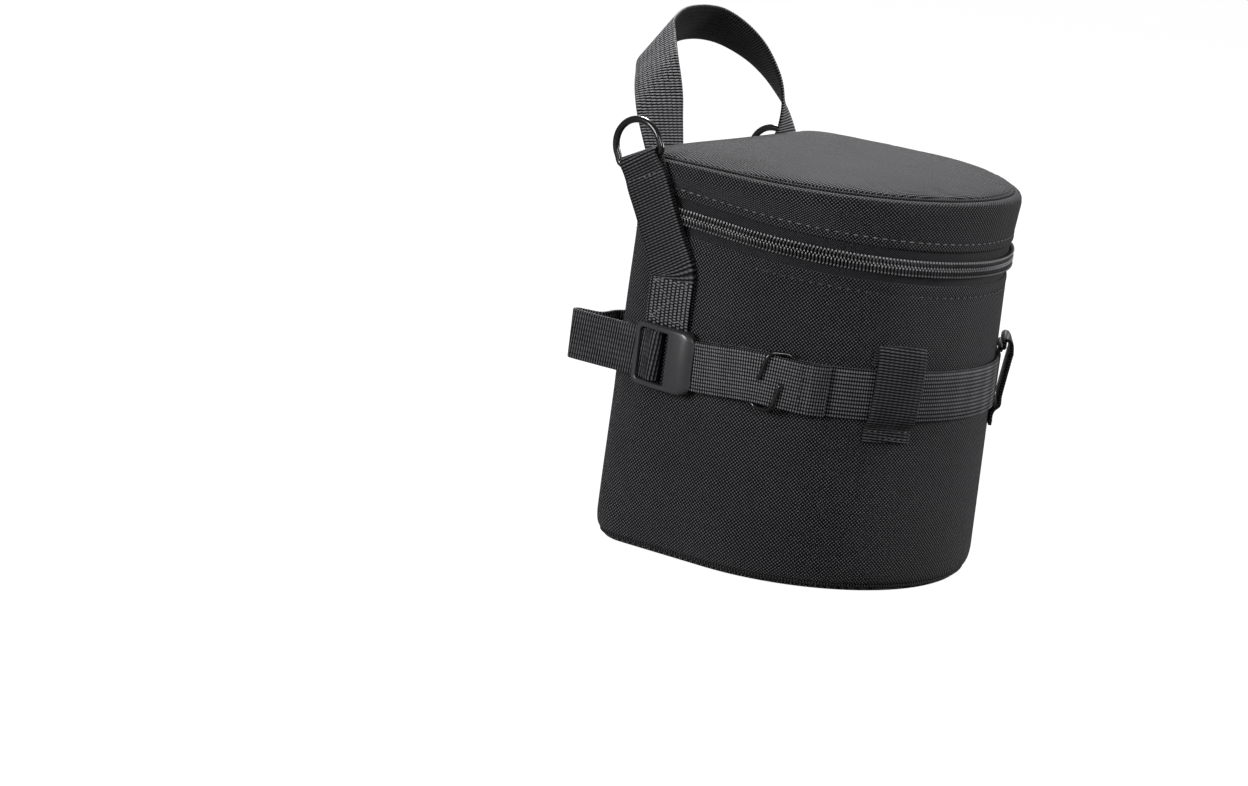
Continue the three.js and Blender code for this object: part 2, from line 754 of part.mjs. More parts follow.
const strapRun = plan.places(-strapStart, adjustBar - gap).map((s) => [s, strapLift]);
const strapTurn = turnAbout(adjustBar, barLift, turnRadius, -Math.PI / 2, Math.PI / 2);
const tailRun = plan.places(plan.front, tailEnd + tailTaper).map((s) => [s, tailLift]);
const tailHem = [[tailEnd + tailTaper / 2, (tailLift + tailRestLift) / 2], [tailEnd, tailRestLift]];
const strapPath = [...strapRun, ...strapTurn, ...tailRun, ...tailHem];
const strapPoints = strapPath.map(([s, lift]) => plan.at(s, lift).point);
add('front_strap', raise(edgeShape(strapPoints, webbing), strapFoot, strapTop), 'webbingCloth');

// Buckle: two arms, the lip over the tail, and three bars
const lipFoot = barLift + turnRadius + webbing / 2 + gap;
const buckleTop = lipFoot + lipThickness;
const buckleFoot = strapLift + webbing / 2 + gap;
const buckleBack = buckleFront + buckleLength;
const sideOrigin = plan.at(plan.front);

// A point on the straight side of the case, which may run on past the back corner.
function sidePoint(s, lift) {
  const along = new THREE.Vector2(-sideOrigin.normal.y, sideOrigin.normal.x).multiplyScalar(-1);
  return sideOrigin.point.clone()
    .addScaledVector(along, s - plan.front)
    .addScaledVector(sideOrigin.normal, lift);
}

function sideShape(points) {
  return new THREE.Shape(points.map(([s, lift]) => sidePoint(s, lift)));
}

function bar(s, lift, radius) {
  const ring = Array.from({ length: wireSides }, (_, i) => {
    const angle = (2 * Math.PI * i) / wireSides;
    return [s + radius * Math.cos(angle), lift + radius * Math.sin(angle)];
  });
  return raise(sideShape(ring), strapHeight - buckleWidth / 2 + gap, strapHeight + buckleWidth / 2 - gap);
}

const armShape = sideShape([
  [buckleFront, lipFoot],
  [buckleFront + buckleArm, buckleFoot],
  [buckleBack - buckleArm, buckleFoot],
  [buckleBack, barLift],
  [buckleBack - buckleArm, barLift + turnRadius],
  [buckleFront + lipLength, buckleTop],
  [buckleFront + buckleArm, buckleTop],
  [buckleFront, lipFoot + lipThickness / 2],
]);
const lipShape = sideShape([
  [buckleFront, lipFoot],
  [buckleFront + lipLength, lipFoot],
  [buckleFront + lipLength, buckleTop],
  [buckleFront + buckleArm, buckleTop],
  [buckleFront, lipFoot + lipThickness / 2],
]);
const endBarFoot = barLift + gap;
const endBarShape = sideShape([
  [buckleBack - endBarLength, endBarFoot],
  [buckleBack - gap, endBarFoot],
  [buckleBack - gap, barLift + turnRadius - gap],
  [buckleBack - endBarLength, barLift + turnRadius - gap],
]);
const buckleLow = strapHeight - buckleWidth / 2;
const buckleHigh = strapHeight + buckleWidth / 2;
add('buckle', join(
  raise(armShape, buckleLow, buckleLow + buckleArm),
  raise(armShape, buckleHigh - buckleArm, buckleHigh),
  raise(lipShape, buckleLow + gap, buckleHigh - gap),
  raise(endBarShape, buckleLow + gap, buckleHigh - gap),
  bar(adjustBar, barLift, barRadius),
  bar(fixedBar, barLift, barRadius),
), 'bucklePlastic');

// Side loop: from the fixed bar straight back past the corner, and round to the back panel
const loopLift = endBarFoot - gap - webbing / 2;
const loopFold = 2;
const loopSpread = loopFold * 2;
const overBar = turnAbout(fixedBar, barLift, turnRadius, Math.PI, 0);
const loopEnd = plan.front + loopReach;
const foldTurn = turnAbout(loopEnd, loopLift - loopFold, loopFold, Math.PI / 2, -Math.PI / 2);
const backLanding = backDepth + wallLift(strapFoot) + gap + webbing / 2;
const loopPoints = [
  ...overBar.map(([s, lift]) => sidePoint(s, lift)),
  sidePoint(buckleBack - buckleArm / 2, loopLift),
  sidePoint(buckleBack + loopSpread, loopLift),
  ...foldTurn.map(([s, lift]) => sidePoint(s, lift)),
  new THREE.Vector2(-loopLanding, backLanding),
  new THREE.Vector2(-loopLanding + loopLandingLength, backLanding),
];
add('side_loop', raise(edgeShape(loopPoints, webbing), strapFoot, strapTop), 'webbingCloth');

// Wire keeper: an open wire frame round the tail, its two prongs side by side in front
const keeperBack = strapLift + webbing / 2 + gap + keeperWire;
const keeperFront = tailLift + webbing / 2 + gap + keeperWire;
const keeperTop = strapTop + gap + keeperWire;
const keeperFoot = strapFoot - gap - keeperWire;
const keeperHalfShares = [
  [0.3, 0, 1],
  [0.22, 0.45, 1],
  [0.13, 0.85, 1],
  [0.04, 1, 0.8],
  [-0.12, 1.02, 0.5],
  [-0.38, 1, 0.1],
  [-0.5, 0.86, 0],
  [-0.42, 0.6, 0],
];
const keeperPathShares = [
  ...keeperHalfShares,
  ...keeperHalfShares.map(([s, h, front]) => [-s, -h, front]).reverse(),
];
const keeperPoints = keeperPathShares.map(([shift, height, front]) => {
  const z = strapHeight + (height * (keeperTop - keeperFoot)) / 2;
  return onWall(keeperAt + shift * keeperWidth, keeperBack + front * (keeperFront - keeperBack), z);
});
const keeperPath = new THREE.CatmullRomCurve3(keeperPoints, false, 'centripetal');
const wireSection = new THREE.Shape().absarc(0, 0, keeperWire, 0, 2 * Math.PI);
add('wire_keeper', new THREE.ExtrudeGeometry(wireSection, {
  extrudePath: keeperPath,
  steps: keeperSteps,
  curveSegments: 4,
}), 'blackMetal');

// Attachment loops: sewn below the strap, over it, and folded back to the wall above it
const footLift = wallLift(frontLoopFoot) + gap + webbing / 2;
const endLift = wallLift(frontLoopEnd) + gap + webbing / 2;
const crossLift = strapLift + webbing + gap;
const loopBend = webbing * 2;

function frontLoop(s, top, standOff, slant) {
  const path = [
    [footLift, frontLoopFoot],
    [footLift, strapFoot - 2 * webbing],
    [crossLift + webbing, strapFoot + webbing],
    [standOff - slant, strapTop - webbing],
    [standOff, top - 2 * loopBend],
    [standOff - webbing / 2, top - webbing],
    [(standOff + endLift) / 2, top - webbing / 2],
    [endLift + webbing, top - webbing - gap],
    [endLift + webbing / 2, frontLoopEnd + loopBend],
    [endLift, frontLoopEnd],
  ].map(([lift, height]) => new THREE.Vector2(lift, height));
  const shape = edgeShape(path, webbing);
  const strip = new THREE.ExtrudeGeometry(shape, { depth: webbingWidth, bevelEnabled: false });
  const { up, out } = wallFrame(s);
  strip.translate(0, 0, -webbingWidth / 2);
  return place(strip, onWall(s, 0, 0), out, up, out.clone().cross(up));
}

const leftLoop = frontLoop(leftLoopAt, leftLoopTop, leftLoopStandOff, gap);
const rightLoop = frontLoop(rightLoopAt, rightLoopTop, rightLoopStandOff, rightLoopSlant);
add('attachment_loop_left', leftLoop, 'webbingCloth');
add('attachment_loop_right', rightLoop, 'webbingCloth');

// Zip slider, parked at the right-hand side, and its pull
const sliderAt = -frontRadius * Math.PI / 2;
const sliderOut = wallFrame(sliderAt).out;
const sliderUp = new THREE.Vector3(0, -zipSlope, 1).normalize();
const slider = { out: sliderOut, up: sliderUp, along: sliderUp.clone().cross(sliderOut) };
const sliderOrigin = onWall(sliderAt, 0, zipHeight);
const plateFoot = coilLift + coilDepth / 2 + 2 * gap;
const plateLift = Math.max(plateFoot, sliderLift);
const plateTop = plateLift + sliderPlate;
const plateHalf = sliderHeight / 2;
const plate = block(
  new THREE.Vector3(-sliderLength / 2, -plateHalf, plateLift),
  new THREE.Vector3(sliderLength / 2, plateHalf - gap, plateTop),
);
const flange = block(
  new THREE.Vector3(-sliderLength / 2, -plateHalf - gap, coilLift - coilDepth / 2 + gap),
  new THREE.Vector3(sliderLength / 2, -coilHeight - gap * 2, plateLift + gap),
);
const crownHalf = sliderLength / 2 - crownPost;
const crownLift = plateTop + gap + eyeRadius;

function crownPostAt(low, high) {
  return block(
    new THREE.Vector3(low, -crownBar, plateTop - gap),
    new THREE.Vector3(high, crownBar, crownLift + crownBar),
  );
}

const crown = block(
  new THREE.Vector3(-crownHalf, -crownBar, crownLift - crownBar),
  new THREE.Vector3(crownHalf, crownBar, crownLift + crownBar),
);
const sliderBody = join(
  plate,
  flange,
  crownPostAt(-crownHalf, -crownHalf + crownPost),
  crownPostAt(crownHalf - crownPost, crownHalf),
  crown,
);
add('zip_slider', place(sliderBody, sliderOrigin, slider.along, slider.up, slider.out), 'blackMetal');

// The pull hangs from the crown: an eye about its bar and a flat tab below
const eyeHalf = crownHalf - crownPost - gap;
const pullEye = new THREE.Shape().absarc(0, 0, eyeRadius, 0, 2 * Math.PI);
const eyeDisc = new THREE.ExtrudeGeometry(pullEye, {
  depth: 2 * eyeHalf, bevelEnabled: false, curveSegments: 10,
});
eyeDisc.translate(0, 0, -eyeHalf);
const eyeBore = new THREE.CylinderGeometry(eyeHole, eyeHole, pullWidth * 2, 12).rotateX(Math.PI / 2);
const tabShape = new THREE.Shape()
  .moveTo(-eyeHalf, 0)
  .lineTo(-pullWidth / 2, -eyeRadius * 2)
  .lineTo(-pullWidth / 2, -pullLength + pullWidth / 2)
  .absarc(0, -pullLength + pullWidth / 2, pullWidth / 2, Math.PI, 2 * Math.PI)
  .lineTo(pullWidth / 2, -eyeRadius * 2)
  .lineTo(eyeHalf, 0);
const pullTab = new THREE.ExtrudeGeometry(tabShape, {
  depth: pullThickness, bevelEnabled: false, curveSegments: 8,
});
pullTab.translate(0, 0, -pullThickness / 2).rotateY(Math.PI / 2);
const pullBody = fromBody(toBody(eyeDisc).add(toBody(pullTab)).subtract(toBody(eyeBore)));
const pullOrigin = sliderOrigin.clone().addScaledVector(slider.out, crownLift);
const pullSide = slider.out.clone().cross(slider.up);
add('zip_pull', place(pullBody, pullOrigin, slider.out, slider.up, pullSide), 'blackMetal');

export default part;
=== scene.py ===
# %% [markdown]
# # A padded lens pouch
# The pouch is a stiff foam case covered in coarse black cloth. Its plan is a D: a round front and a
# flat back. A coil zip runs round it, and the domed lid hinges at the back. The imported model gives
# every size, and this notebook dresses it: each node is replaced by a formed, sewn piece in its place.

# %% Load the frame
from math import acos, atan2, copysign, cos, exp, hypot, pi, radians, sin, sqrt, tau

import bmesh
import bpy
from mathutils import Matrix, Vector


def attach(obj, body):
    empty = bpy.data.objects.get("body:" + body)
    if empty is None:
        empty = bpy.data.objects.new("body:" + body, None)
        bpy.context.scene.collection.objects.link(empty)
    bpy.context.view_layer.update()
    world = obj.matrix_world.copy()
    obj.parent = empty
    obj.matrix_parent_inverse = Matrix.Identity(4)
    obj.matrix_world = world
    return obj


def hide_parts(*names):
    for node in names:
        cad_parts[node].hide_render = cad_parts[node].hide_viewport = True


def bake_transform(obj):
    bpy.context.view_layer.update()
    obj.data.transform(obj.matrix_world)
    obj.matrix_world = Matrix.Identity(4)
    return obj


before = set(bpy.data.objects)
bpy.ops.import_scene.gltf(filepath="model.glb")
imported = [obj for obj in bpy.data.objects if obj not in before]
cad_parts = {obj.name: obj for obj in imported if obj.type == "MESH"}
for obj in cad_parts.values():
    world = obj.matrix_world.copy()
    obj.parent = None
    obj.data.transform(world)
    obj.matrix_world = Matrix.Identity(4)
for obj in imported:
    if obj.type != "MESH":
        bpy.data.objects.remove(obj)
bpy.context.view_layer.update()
scene = bpy.context.scene
MM = 0.001

# %% [markdown]
# ## The camera first
# The photograph looks down a little on the left front of the pouch, with the camera rolled. A camera
# could be aimed with a constraint, but its three axes are known, so they are written straight into
# its matrix: that keeps the roll, and the framing is then exact.

# %% Camera
VIEW_TURN = radians(-58)
VIEW_RISE = radians(12.5)
VIEW_ROLL = radians(7.13)
VIEW_DISTANCE = 1405
VIEW_FOCAL = 3473
FRAME_WIDE, FRAME_HIGH = 1248, 786
AIM_AT = Vector((0, 0, 80))
AIM_PIXEL = (818.8, 352.7)

back = Vector((sin(VIEW_TURN) * cos(VIEW_RISE), -cos(VIEW_TURN) * cos(VIEW_RISE),
               sin(VIEW_RISE)))
level = Vector((cos(VIEW_TURN), sin(VIEW_TURN), 0))
upright = back.cross(level)
right = level * cos(VIEW_ROLL) + upright * sin(VIEW_ROLL)
top = upright * cos(VIEW_ROLL) - level * sin(VIEW_ROLL)
per_pixel = VIEW_DISTANCE / VIEW_FOCAL
eye = (AIM_AT + back * VIEW_DISTANCE - right * (AIM_PIXEL[0] - FRAME_WIDE / 2) * per_pixel
       + top * (AIM_PIXEL[1] - FRAME_HIGH / 2) * per_pixel)

lens = bpy.data.cameras.new("view")
lens.sensor_width = 36
lens.lens = VIEW_FOCAL / FRAME_WIDE * lens.sensor_width
camera = bpy.data.objects.new("view", lens)
pose = Matrix((right, top, back)).transposed().to_4x4()
pose.translation = eye * MM
camera.matrix_world = pose
scene.collection.objects.link(camera)
scene.camera = camera
scene.view_settings.view_transform = "Standard"
print("camera at", [round(v, 3) for v in pose.translation], "lens", round(lens.lens, 2))

# %% [markdown]
# ## The plan of the case
# Every ring of the pouch follows one outline: an arc of 70 mm in front, two nearly straight sides,
# two 15 mm corners and the flat back. A place on it is named by s, the distance along the wall from
# the middle of the front, and by lift, the distance outwards. Positive s runs to the buckle's side.

# %% Plan
FRONT_RADIUS, BACK_WIDE, BACK_DEEP, CORNER = 70, 138, 57, 15
CORNER_X, CORNER_Y = BACK_WIDE / 2 - CORNER, BACK_DEEP - CORNER
CORNER_FAR = hypot(CORNER_X, CORNER_Y)
SIDE_TURN = atan2(CORNER_Y, CORNER_X) - acos((FRONT_RADIUS - CORNER) / CORNER_FAR)
FRONT = FRONT_RADIUS * (pi / 2 + SIDE_TURN)
SIDE = sqrt(CORNER_FAR ** 2 - (FRONT_RADIUS - CORNER) ** 2)
TURN = CORNER * (pi / 2 - SIDE_TURN)
CORNER_END = FRONT + SIDE + TURN
HALF = CORNER_END + CORNER_X
MOUTH, ZIP, SLOPE = 127, 134, 0.06


def plan(s, lift=0):
    """The point of the plan at s, and its outward normal, in millimetres."""
    if s > HALF:
        s -= 2 * HALF
    far = abs(s)
    if far <= FRONT:
        turn = far / FRONT_RADIUS - pi / 2
        x, y = FRONT_RADIUS * cos(turn), FRONT_RADIUS * sin(turn)
    elif far <= FRONT + SIDE:
        turn, run = SIDE_TURN, far - FRONT
        x = FRONT_RADIUS * cos(turn) - run * sin(turn)
        y = FRONT_RADIUS * sin(turn) + run * cos(turn)
    elif far <= CORNER_END:
        turn = SIDE_TURN + (far - FRONT - SIDE) / CORNER
        x, y = CORNER_X + CORNER * cos(turn), CORNER_Y + CORNER * sin(turn)
    else:
        turn = pi / 2
        x, y = CORNER_X - (far - CORNER_END), BACK_DEEP
    side = -1 if s > 0 else 1
    normal = Vector((side * cos(turn), sin(turn), 0))
    return Vector((side * x, y, 0)) + normal * lift, normal


def wall(s, lift, z, slope=0):
    """A point over the plan, in metres; a sloped height rises towards the back."""
    point, _ = plan(s, lift)
    point.z = z + slope * point.y
    return point * MM


def spread(low, high, step):
    """Even places from low to high, about a step apart."""
    count = max(1, round(abs(high - low) / step))
    return [low + (high - low) * i / count for i in range(count + 1)]


def arc(x, y, radius, turns):
    """The points round a centre at each of the turns."""
    return [(x + radius * cos(turn), y + radius * sin(turn)) for turn in turns]


def clamped(value):
    return max(0.0, min(1.0, value))


print("half the outline", round(HALF, 2), "mm")

# %% [markdown]
# ## Sheets and lofts
# Cloth, webbing and cord are all one thing to a modeller: a section carried along a path. A curve
# with a bevel could make them, but it gives no hold on the section at each station. So one grid is
# made with bmesh, its columns are the stations and its rows are the section, and every vertex is
# moved to its place. The UV map is in metres, so that a weave keeps its true size on every piece.

# %% Loft
WEB, WEB_THICK, RIB = 20, 1.4, 1.1
MERGE = 1e-6
HUB = Vector((0, 0, 0.07))
UP = Vector((0, 0, 1))
pieces = {}


def finish_mesh(name, bm):
    mesh = bpy.data.meshes.new(name)
    bm.to_mesh(mesh)
    bm.free()
    mesh.shade_smooth()
    piece = pieces[name] = bpy.data.objects.new(name, mesh)
    scene.collection.objects.link(piece)
    return piece


def lengths(points):
    """The distance travelled at each point of a row of points."""
    run = [0.0]
    for a, b in zip(points, points[1:]):
        run.append(run[-1] + (b - a).length)
    return run


def loft(name, rings, closed_ring=True, closed_path=False, inside=None, facing=1, along=None, across=None, skew=None):
    """One surface through rings of points. Facing 1 turns it away from the inside point, and -1 towards it."""
    columns = len(rings) - (not closed_path)
    rows = len(rings[0]) - (not closed_ring)
    section = rings[len(rings) // 2]
    us = along or lengths([ring[0] for ring in rings] + [rings[0][0]] * closed_path)
    vs = across or lengths(section + section[:1] * closed_ring)
    bm = bmesh.new()
    bmesh.ops.create_grid(bm, x_segments=columns, y_segments=rows, size=1)
    uv = bm.loops.layers.uv.new("UVMap")
    cells = {v: (round((v.co.x + 1) / 2 * columns), round((v.co.y + 1) / 2 * rows)) for v in bm.verts}
    for face in bm.faces:
        for corner in face.loops:
            i, j = cells[corner.vert]
            corner[uv].uv = (us[i] + (skew[i] * (vs[j] - WEB / 2 * MM) if skew else 0.0), vs[j])
    for v, (i, j) in cells.items():
        v.co = rings[i % len(rings)][j % len(rings[0])]
    bmesh.ops.remove_doubles(bm, verts=bm.verts, dist=MERGE)
    if closed_ring and not closed_path:
        bmesh.ops.holes_fill(bm, edges=[e for e in bm.edges if e.is_boundary], sides=0)
    bmesh.ops.recalc_face_normals(bm, faces=bm.faces)
    if inside is not None:
        away = sum(f.normal.dot(f.calc_center_median() - inside) * f.calc_area() for f in bm.faces)
        if away * facing < 0:
            bmesh.ops.reverse_faces(bm, faces=bm.faces)
    return finish_mesh(name, bm)


def thicken(piece, thickness):
    """Gives a sheet its thickness, inwards from the drawn face."""
    shell = piece.modifiers.new("thickness", "SOLIDIFY")
    shell.thickness = thickness * MM
    shell.offset = -1
    shell.use_even_offset = False
    return piece


def strip_section(thick, corner=0.35):
    """The section of webbing with rounded edges: (across, out) pairs in millimetres."""
    half, deep = WEB / 2, thick / 2
    side = [(half - corner, deep), (half - corner / 4, deep * 0.75), (half, 0), (half - corner / 4, -deep * 0.75),
            (half - corner, -deep)] + [(half * k, -deep) for k in (0.5, 0, -0.5)]
    return side + [(-x, -y) for x, y in side]


print("a strip of webbing has", len(strip_section(WEB_THICK)), "rows")

# %% [markdown]
# ## Finishes
# The photograph shows woven shell cloth, ribbed webbing, fine tape, satin nylon teeth, dark moulded
# plastic and glossy black wire. Pictures of cloth would be quick, but procedural nodes stay sharp at
# any size. Each pattern is a small node group that gives a height and a mask, and the shaders stay in
# the materials. Cloth and webbing read the UV map, in metres, and wear reads the object's own space.

# %% Node helpers
def put(tree, target, value):
    """Links a socket, or sets a constant. A tuple that starts with a word is a sum still to be worked out."""
    if isinstance(value, tuple) and isinstance(value[0], str):
        value = calc(tree, *value)
    if isinstance(value, bpy.types.NodeSocket):
        tree.links.new(value, target)
    else:
        target.default_value = value


def add_node(tree, kind, inputs=(), **settings):
    """The outputs of a new node, with its settings made first and then its inputs filled, by label or by number."""
    node = tree.nodes.new("ShaderNode" + kind)
    for label, value in settings.items():
        setattr(node, label, value)
    for label, value in dict(inputs).items():
        put(tree, node.inputs[label], value)
    return node.outputs


def calc(tree, operation, *values):
    return add_node(tree, "Math", enumerate(values), operation=operation)[0]


def grey(*levels):
    """A colour from (red and green, blue) or from (red, green, blue)."""
    return (levels[0], *levels[-2:], 1)


def blend_colours(tree, share, low, high, mode="MIX"):
    return add_node(tree, "Mix", {"Factor": share, 6: low, 7: high}, data_type="RGBA", blend_type=mode)[2]


def effect(name, *outputs, **inputs):
    """A node group that reads a vector and some numbers: its tree, its input sockets and its output sockets."""
    tree = bpy.data.node_groups.new(name, "ShaderNodeTree")
    tree.interface.new_socket("Vector", in_out="INPUT", socket_type="NodeSocketVector")
    for label, value in inputs.items():
        tree.interface.new_socket(label, in_out="INPUT", socket_type="NodeSocketFloat").default_value = value
    for label in outputs:
        tree.interface.new_socket(label, in_out="OUTPUT", socket_type="NodeSocketFloat")
    return tree, tree.nodes.new("NodeGroupInput").outputs, tree.nodes.new("NodeGroupOutput").inputs


def noise(tree, vector, scale, detail=3.0, roughness=0.6):
    inputs = {"Vector": vector, "Scale": scale, "Detail": detail, "Roughness": roughness}
    return add_node(tree, "TexNoise", inputs)[0]


def between(tree, *values):
    """Eases (value, low, high) into the range from 0 to 1, or into (new low, new high) where they are given."""
    return add_node(tree, "MapRange", enumerate(values), interpolation_type="SMOOTHSTEP")[0]


print("node helpers ready")

# %% [markdown]
# ### Weave, ribs and wear
# The shell is a plain weave whose threads pass over and under each other, which reads as diagonal
# rows of dots. Webbing has ribs across it and warp columns along it. The masks mark the pits and gaps,
# where the materials paint shade. Wear is slow noise that lifts or dulls the colour, with lint as a
# finer layer, so no cloth looks printed.

# %% Pattern groups
weave, given, result = effect("plain weave", "Height", "PaintedPitShade", Pitch=0.0014)
drift = calc(weave, "MULTIPLY", ("SUBTRACT", noise(weave, given["Vector"], 260.0), 0.5), 0.15)
warp, weft = (calc(weave, "ADD", ("DIVIDE", ("MULTIPLY", axis, tau), given["Pitch"]), drift)
              for axis in add_node(weave, "SeparateXYZ", {0: given["Vector"]})[:2])
over = calc(weave, "MULTIPLY", ("SINE", warp), ("SINE", weft))
put(weave, result["Height"], ("ADD", over, ("MULTIPLY", ("SINE", ("MULTIPLY", warp, 3.0)), 0.12)))
put(weave, result["PaintedPitShade"], between(weave, over, -0.1, 0.8, 1.0, 0.0))

ribs, given, result = effect("webbing ribs", "Height", "PaintedGapShade", Rib=0.0015, Column=0.0022, Bands=0.5, Stagger=1.0)
axes = add_node(ribs, "SeparateXYZ", {0: given["Vector"]})
across = calc(ribs, "DIVIDE", axes[1], given["Column"])
parity = ("MULTIPLY", ("MULTIPLY", ("FLOOR", across), pi / 2), given["Stagger"])
along = ("ADD", ("DIVIDE", ("MULTIPLY", axes[0], pi), given["Rib"]), parity)
rib = ("POWER", ("ABSOLUTE", ("SINE", along)), 0.6)
column = ("POWER", ("ABSOLUTE", ("SINE", ("MULTIPLY", across, pi))), 0.5)
rib = ("ADD", ("MULTIPLY", ("SUBTRACT", rib, 1.0), ("SUBTRACT", 1.0, given["Bands"])), 1.0)
column = ("ADD", ("MULTIPLY", ("SUBTRACT", column, 1.0), given["Bands"]), 1.0)
height = calc(ribs, "MULTIPLY", rib, column)
put(ribs, result["Height"], height)
put(ribs, result["PaintedGapShade"], between(ribs, height, 0.74, 1.0, 1.0, 0.0))

wear, given, result = effect("wear and lint", "Tone", Patch=18.0, Lint=900.0, Amount=0.3)
patches = ("SUBTRACT", noise(wear, given["Vector"], given["Patch"]), 0.5)
lint = ("SUBTRACT", noise(wear, given["Vector"], given["Lint"], 2.0), 0.5)
both = ("ADD", patches, ("MULTIPLY", lint, 0.7))
put(wear, result["Tone"], ("ADD", 0.5, ("MULTIPLY", both, given["Amount"])))

grain, given, result = effect("moulded grain", "Height", Scale=1500.0)
put(grain, result["Height"], noise(grain, given["Vector"], given["Scale"], 2.0, 0.5))
print("pattern groups", [group.name for group in bpy.data.node_groups])

# %% Material maker
def place_group(tree, group, vector, **values):
    return add_node(tree, "Group", {"Vector": vector, **values}, node_tree=group)


def new_finish(name, roughness, sheen=0.0, metallic=0.0, coat=0.0, gloss=0.45):
    """A Principled material with its constants set, and the coordinates that its patterns read."""
    finish = bpy.data.materials.new(name)
    finish.use_nodes = True
    tree = finish.node_tree
    shader = tree.nodes["Principled BSDF"].inputs
    for label, value in (("Roughness", roughness), ("Sheen Weight", sheen), ("Sheen Roughness", 0.45),
                         ("Metallic", metallic), ("Coat Weight", coat), ("Specular IOR Level", gloss)):
        shader[label].default_value = value
    where = add_node(tree, "TexCoord")
    return finish, tree, shader, where["UV"], where["Object"]


def colour_of(tree, shader, tone, mask, low, high, worn=0.35):
    """Mixes the mask's colour into the top colour, then lifts or dulls it by the worn tone. On cloth and webbing the
    mask holds the pits or gaps, so the mixed colour is painted shade there; on hard finishes the mask is random tone.
    """
    base = blend_colours(tree, mask, grey(*high), grey(*low))
    pale = blend_colours(tree, between(tree, tone, 0.35, 0.65), grey(1 - worn, 1 - worn), grey(1 + worn, 1 + worn))
    put(tree, shader["Base Color"], blend_colours(tree, 1.0, base, pale, "MULTIPLY"))


def bump_of(tree, shader, height, deep):
    put(tree, shader["Normal"], add_node(tree, "Bump", {"Strength": 1.0, "Distance": deep, "Height": height})[0])


def cloth_finish(name, pitch, deep, low, high, roughness=0.7, sheen=0.08):
    finish, tree, shader, flat, solid = new_finish(name, roughness, sheen, gloss=0.08)
    woven = place_group(tree, weave, flat, Pitch=pitch * MM)
    colour_of(tree, shader, place_group(tree, wear, solid)["Tone"], woven["PaintedPitShade"], low, high, 0.3)
    bump_of(tree, shader, woven["Height"], deep * MM)
    return finish


def webbing_finish(name, high, bands, rib, column, deep, stagger, sheen=0.02):
    finish, tree, shader, flat, solid = new_finish(name, 0.55, sheen, gloss=0.12)
    ribbed = place_group(tree, ribs, flat, Rib=rib * MM, Column=column * MM, Bands=bands, Stagger=stagger)
    colour_of(tree, shader, place_group(tree, wear, solid)["Tone"], ribbed["PaintedGapShade"], PAINTED_PIT_SHADE, high)
    bump_of(tree, shader, ribbed["Height"], deep * MM)
    return finish


def hard_finish(name, low, high, roughness, metallic=0.0, coat=0.0, deep=0.02, scale=1500.0):
    finish, tree, shader, _, solid = new_finish(name, roughness, 0.0, metallic, coat)
    tone = place_group(tree, wear, solid, Patch=60.0)["Tone"]
    colour_of(tree, shader, tone, between(tree, tone, 0.4, 0.6), low, high, 0.15)
    put(tree, shader["Roughness"], between(tree, tone, 0.3, 0.7, roughness - 0.06, roughness + 0.08))
    bump_of(tree, shader, place_group(tree, grain, solid, Scale=scale)["Height"], deep * MM)
    return finish


# Painted light: in each cloth and webbing below, the first colour is painted shade in the pits or gaps of its weave.
# The second is the colour of the thread tops, and on the black shell, piping, tape and webbing it also carries a
# painted highlight.
PAINTED_PIT_SHADE, PAINTED_FINE_PIT_SHADE = (0.0004, 0.0005), (0.002, 0.0025)
shell_cloth = cloth_finish("shell cloth", 1.45, 0.28, PAINTED_PIT_SHADE, (0.115, 0.125), sheen=0.06)
fold_cloth = cloth_finish("folded shell cloth", 1.0, 0.08, (0.005, 0.0055), (0.024, 0.0265))
cord_cloth = cloth_finish("piping cloth", 1.2, 0.15, PAINTED_FINE_PIT_SHADE, (0.05, 0.055))
tab_webbing = webbing_finish("tab webbing", (0.085, 0.092), 0.15, 1.15, 2.1, 0.22, 0.3)
# Painted light: the handle's outer faces get a brighter copy of the webbing, and its inner faces a darker copy as
# painted shade.
handle_painted_lit = webbing_finish("handle webbing, painted light", (0.26, 0.275), 0.15, 1.15, 2.1, 0.22, 0.3)
inner_painted_shade = webbing_finish("inner handle face, painted shade", (0.04, 0.043), 0.15, 1.15, 2.1, 0.2, 0.3, 0.0)
# Painted light: the tab's sewn foot, the strap and its tail are the same webbing as the tabs and loops, painted about
# twice as bright, as lit.
sewn_painted_lit = webbing_finish("sewn webbing, painted light", (0.17, 0.18), 0.45, 1.15, 1.9, 0.26, 1.0)
tail_painted_lit = webbing_finish("tail webbing, painted light", (0.17, 0.18), 0.4, 1.0, 1.4, 0.2, 0.0)
front_painted_lit = webbing_finish("front webbing, painted light", (0.17, 0.182), 0.55, 1.0, 1.5, 0.2, 0.0)
tape_cloth = cloth_finish("zip tape", 0.9, 0.15, PAINTED_FINE_PIT_SHADE, (0.07, 0.076))
lining_knit = cloth_finish("lining knit", 1.3, 0.3, (0.13, 0.135, 0.14), (0.28, 0.285, 0.295), 0.95, 0.25)
foam_skin = hard_finish("closed foam", (0.075, 0.08), (0.11, 0.115), 0.9, deep=0.2, scale=900.0)
thread = hard_finish("thread", (0.03, 0.032), (0.085, 0.09), 0.5)
lit_thread = hard_finish("lit thread", (0.08, 0.083), (0.2, 0.21), 0.45)
dark_thread = hard_finish("dark thread", (0.012, 0.013), (0.035, 0.038), 0.6)
coil_nylon = hard_finish("coil nylon", (0.02, 0.021), (0.05, 0.053), 0.3)
seam_nylon = hard_finish("seam thread", (0.22, 0.23), (0.44, 0.45), 0.35)
buckle_plastic = hard_finish("buckle plastic", (0.025, 0.027), (0.04, 0.043), 0.32, coat=0.1)
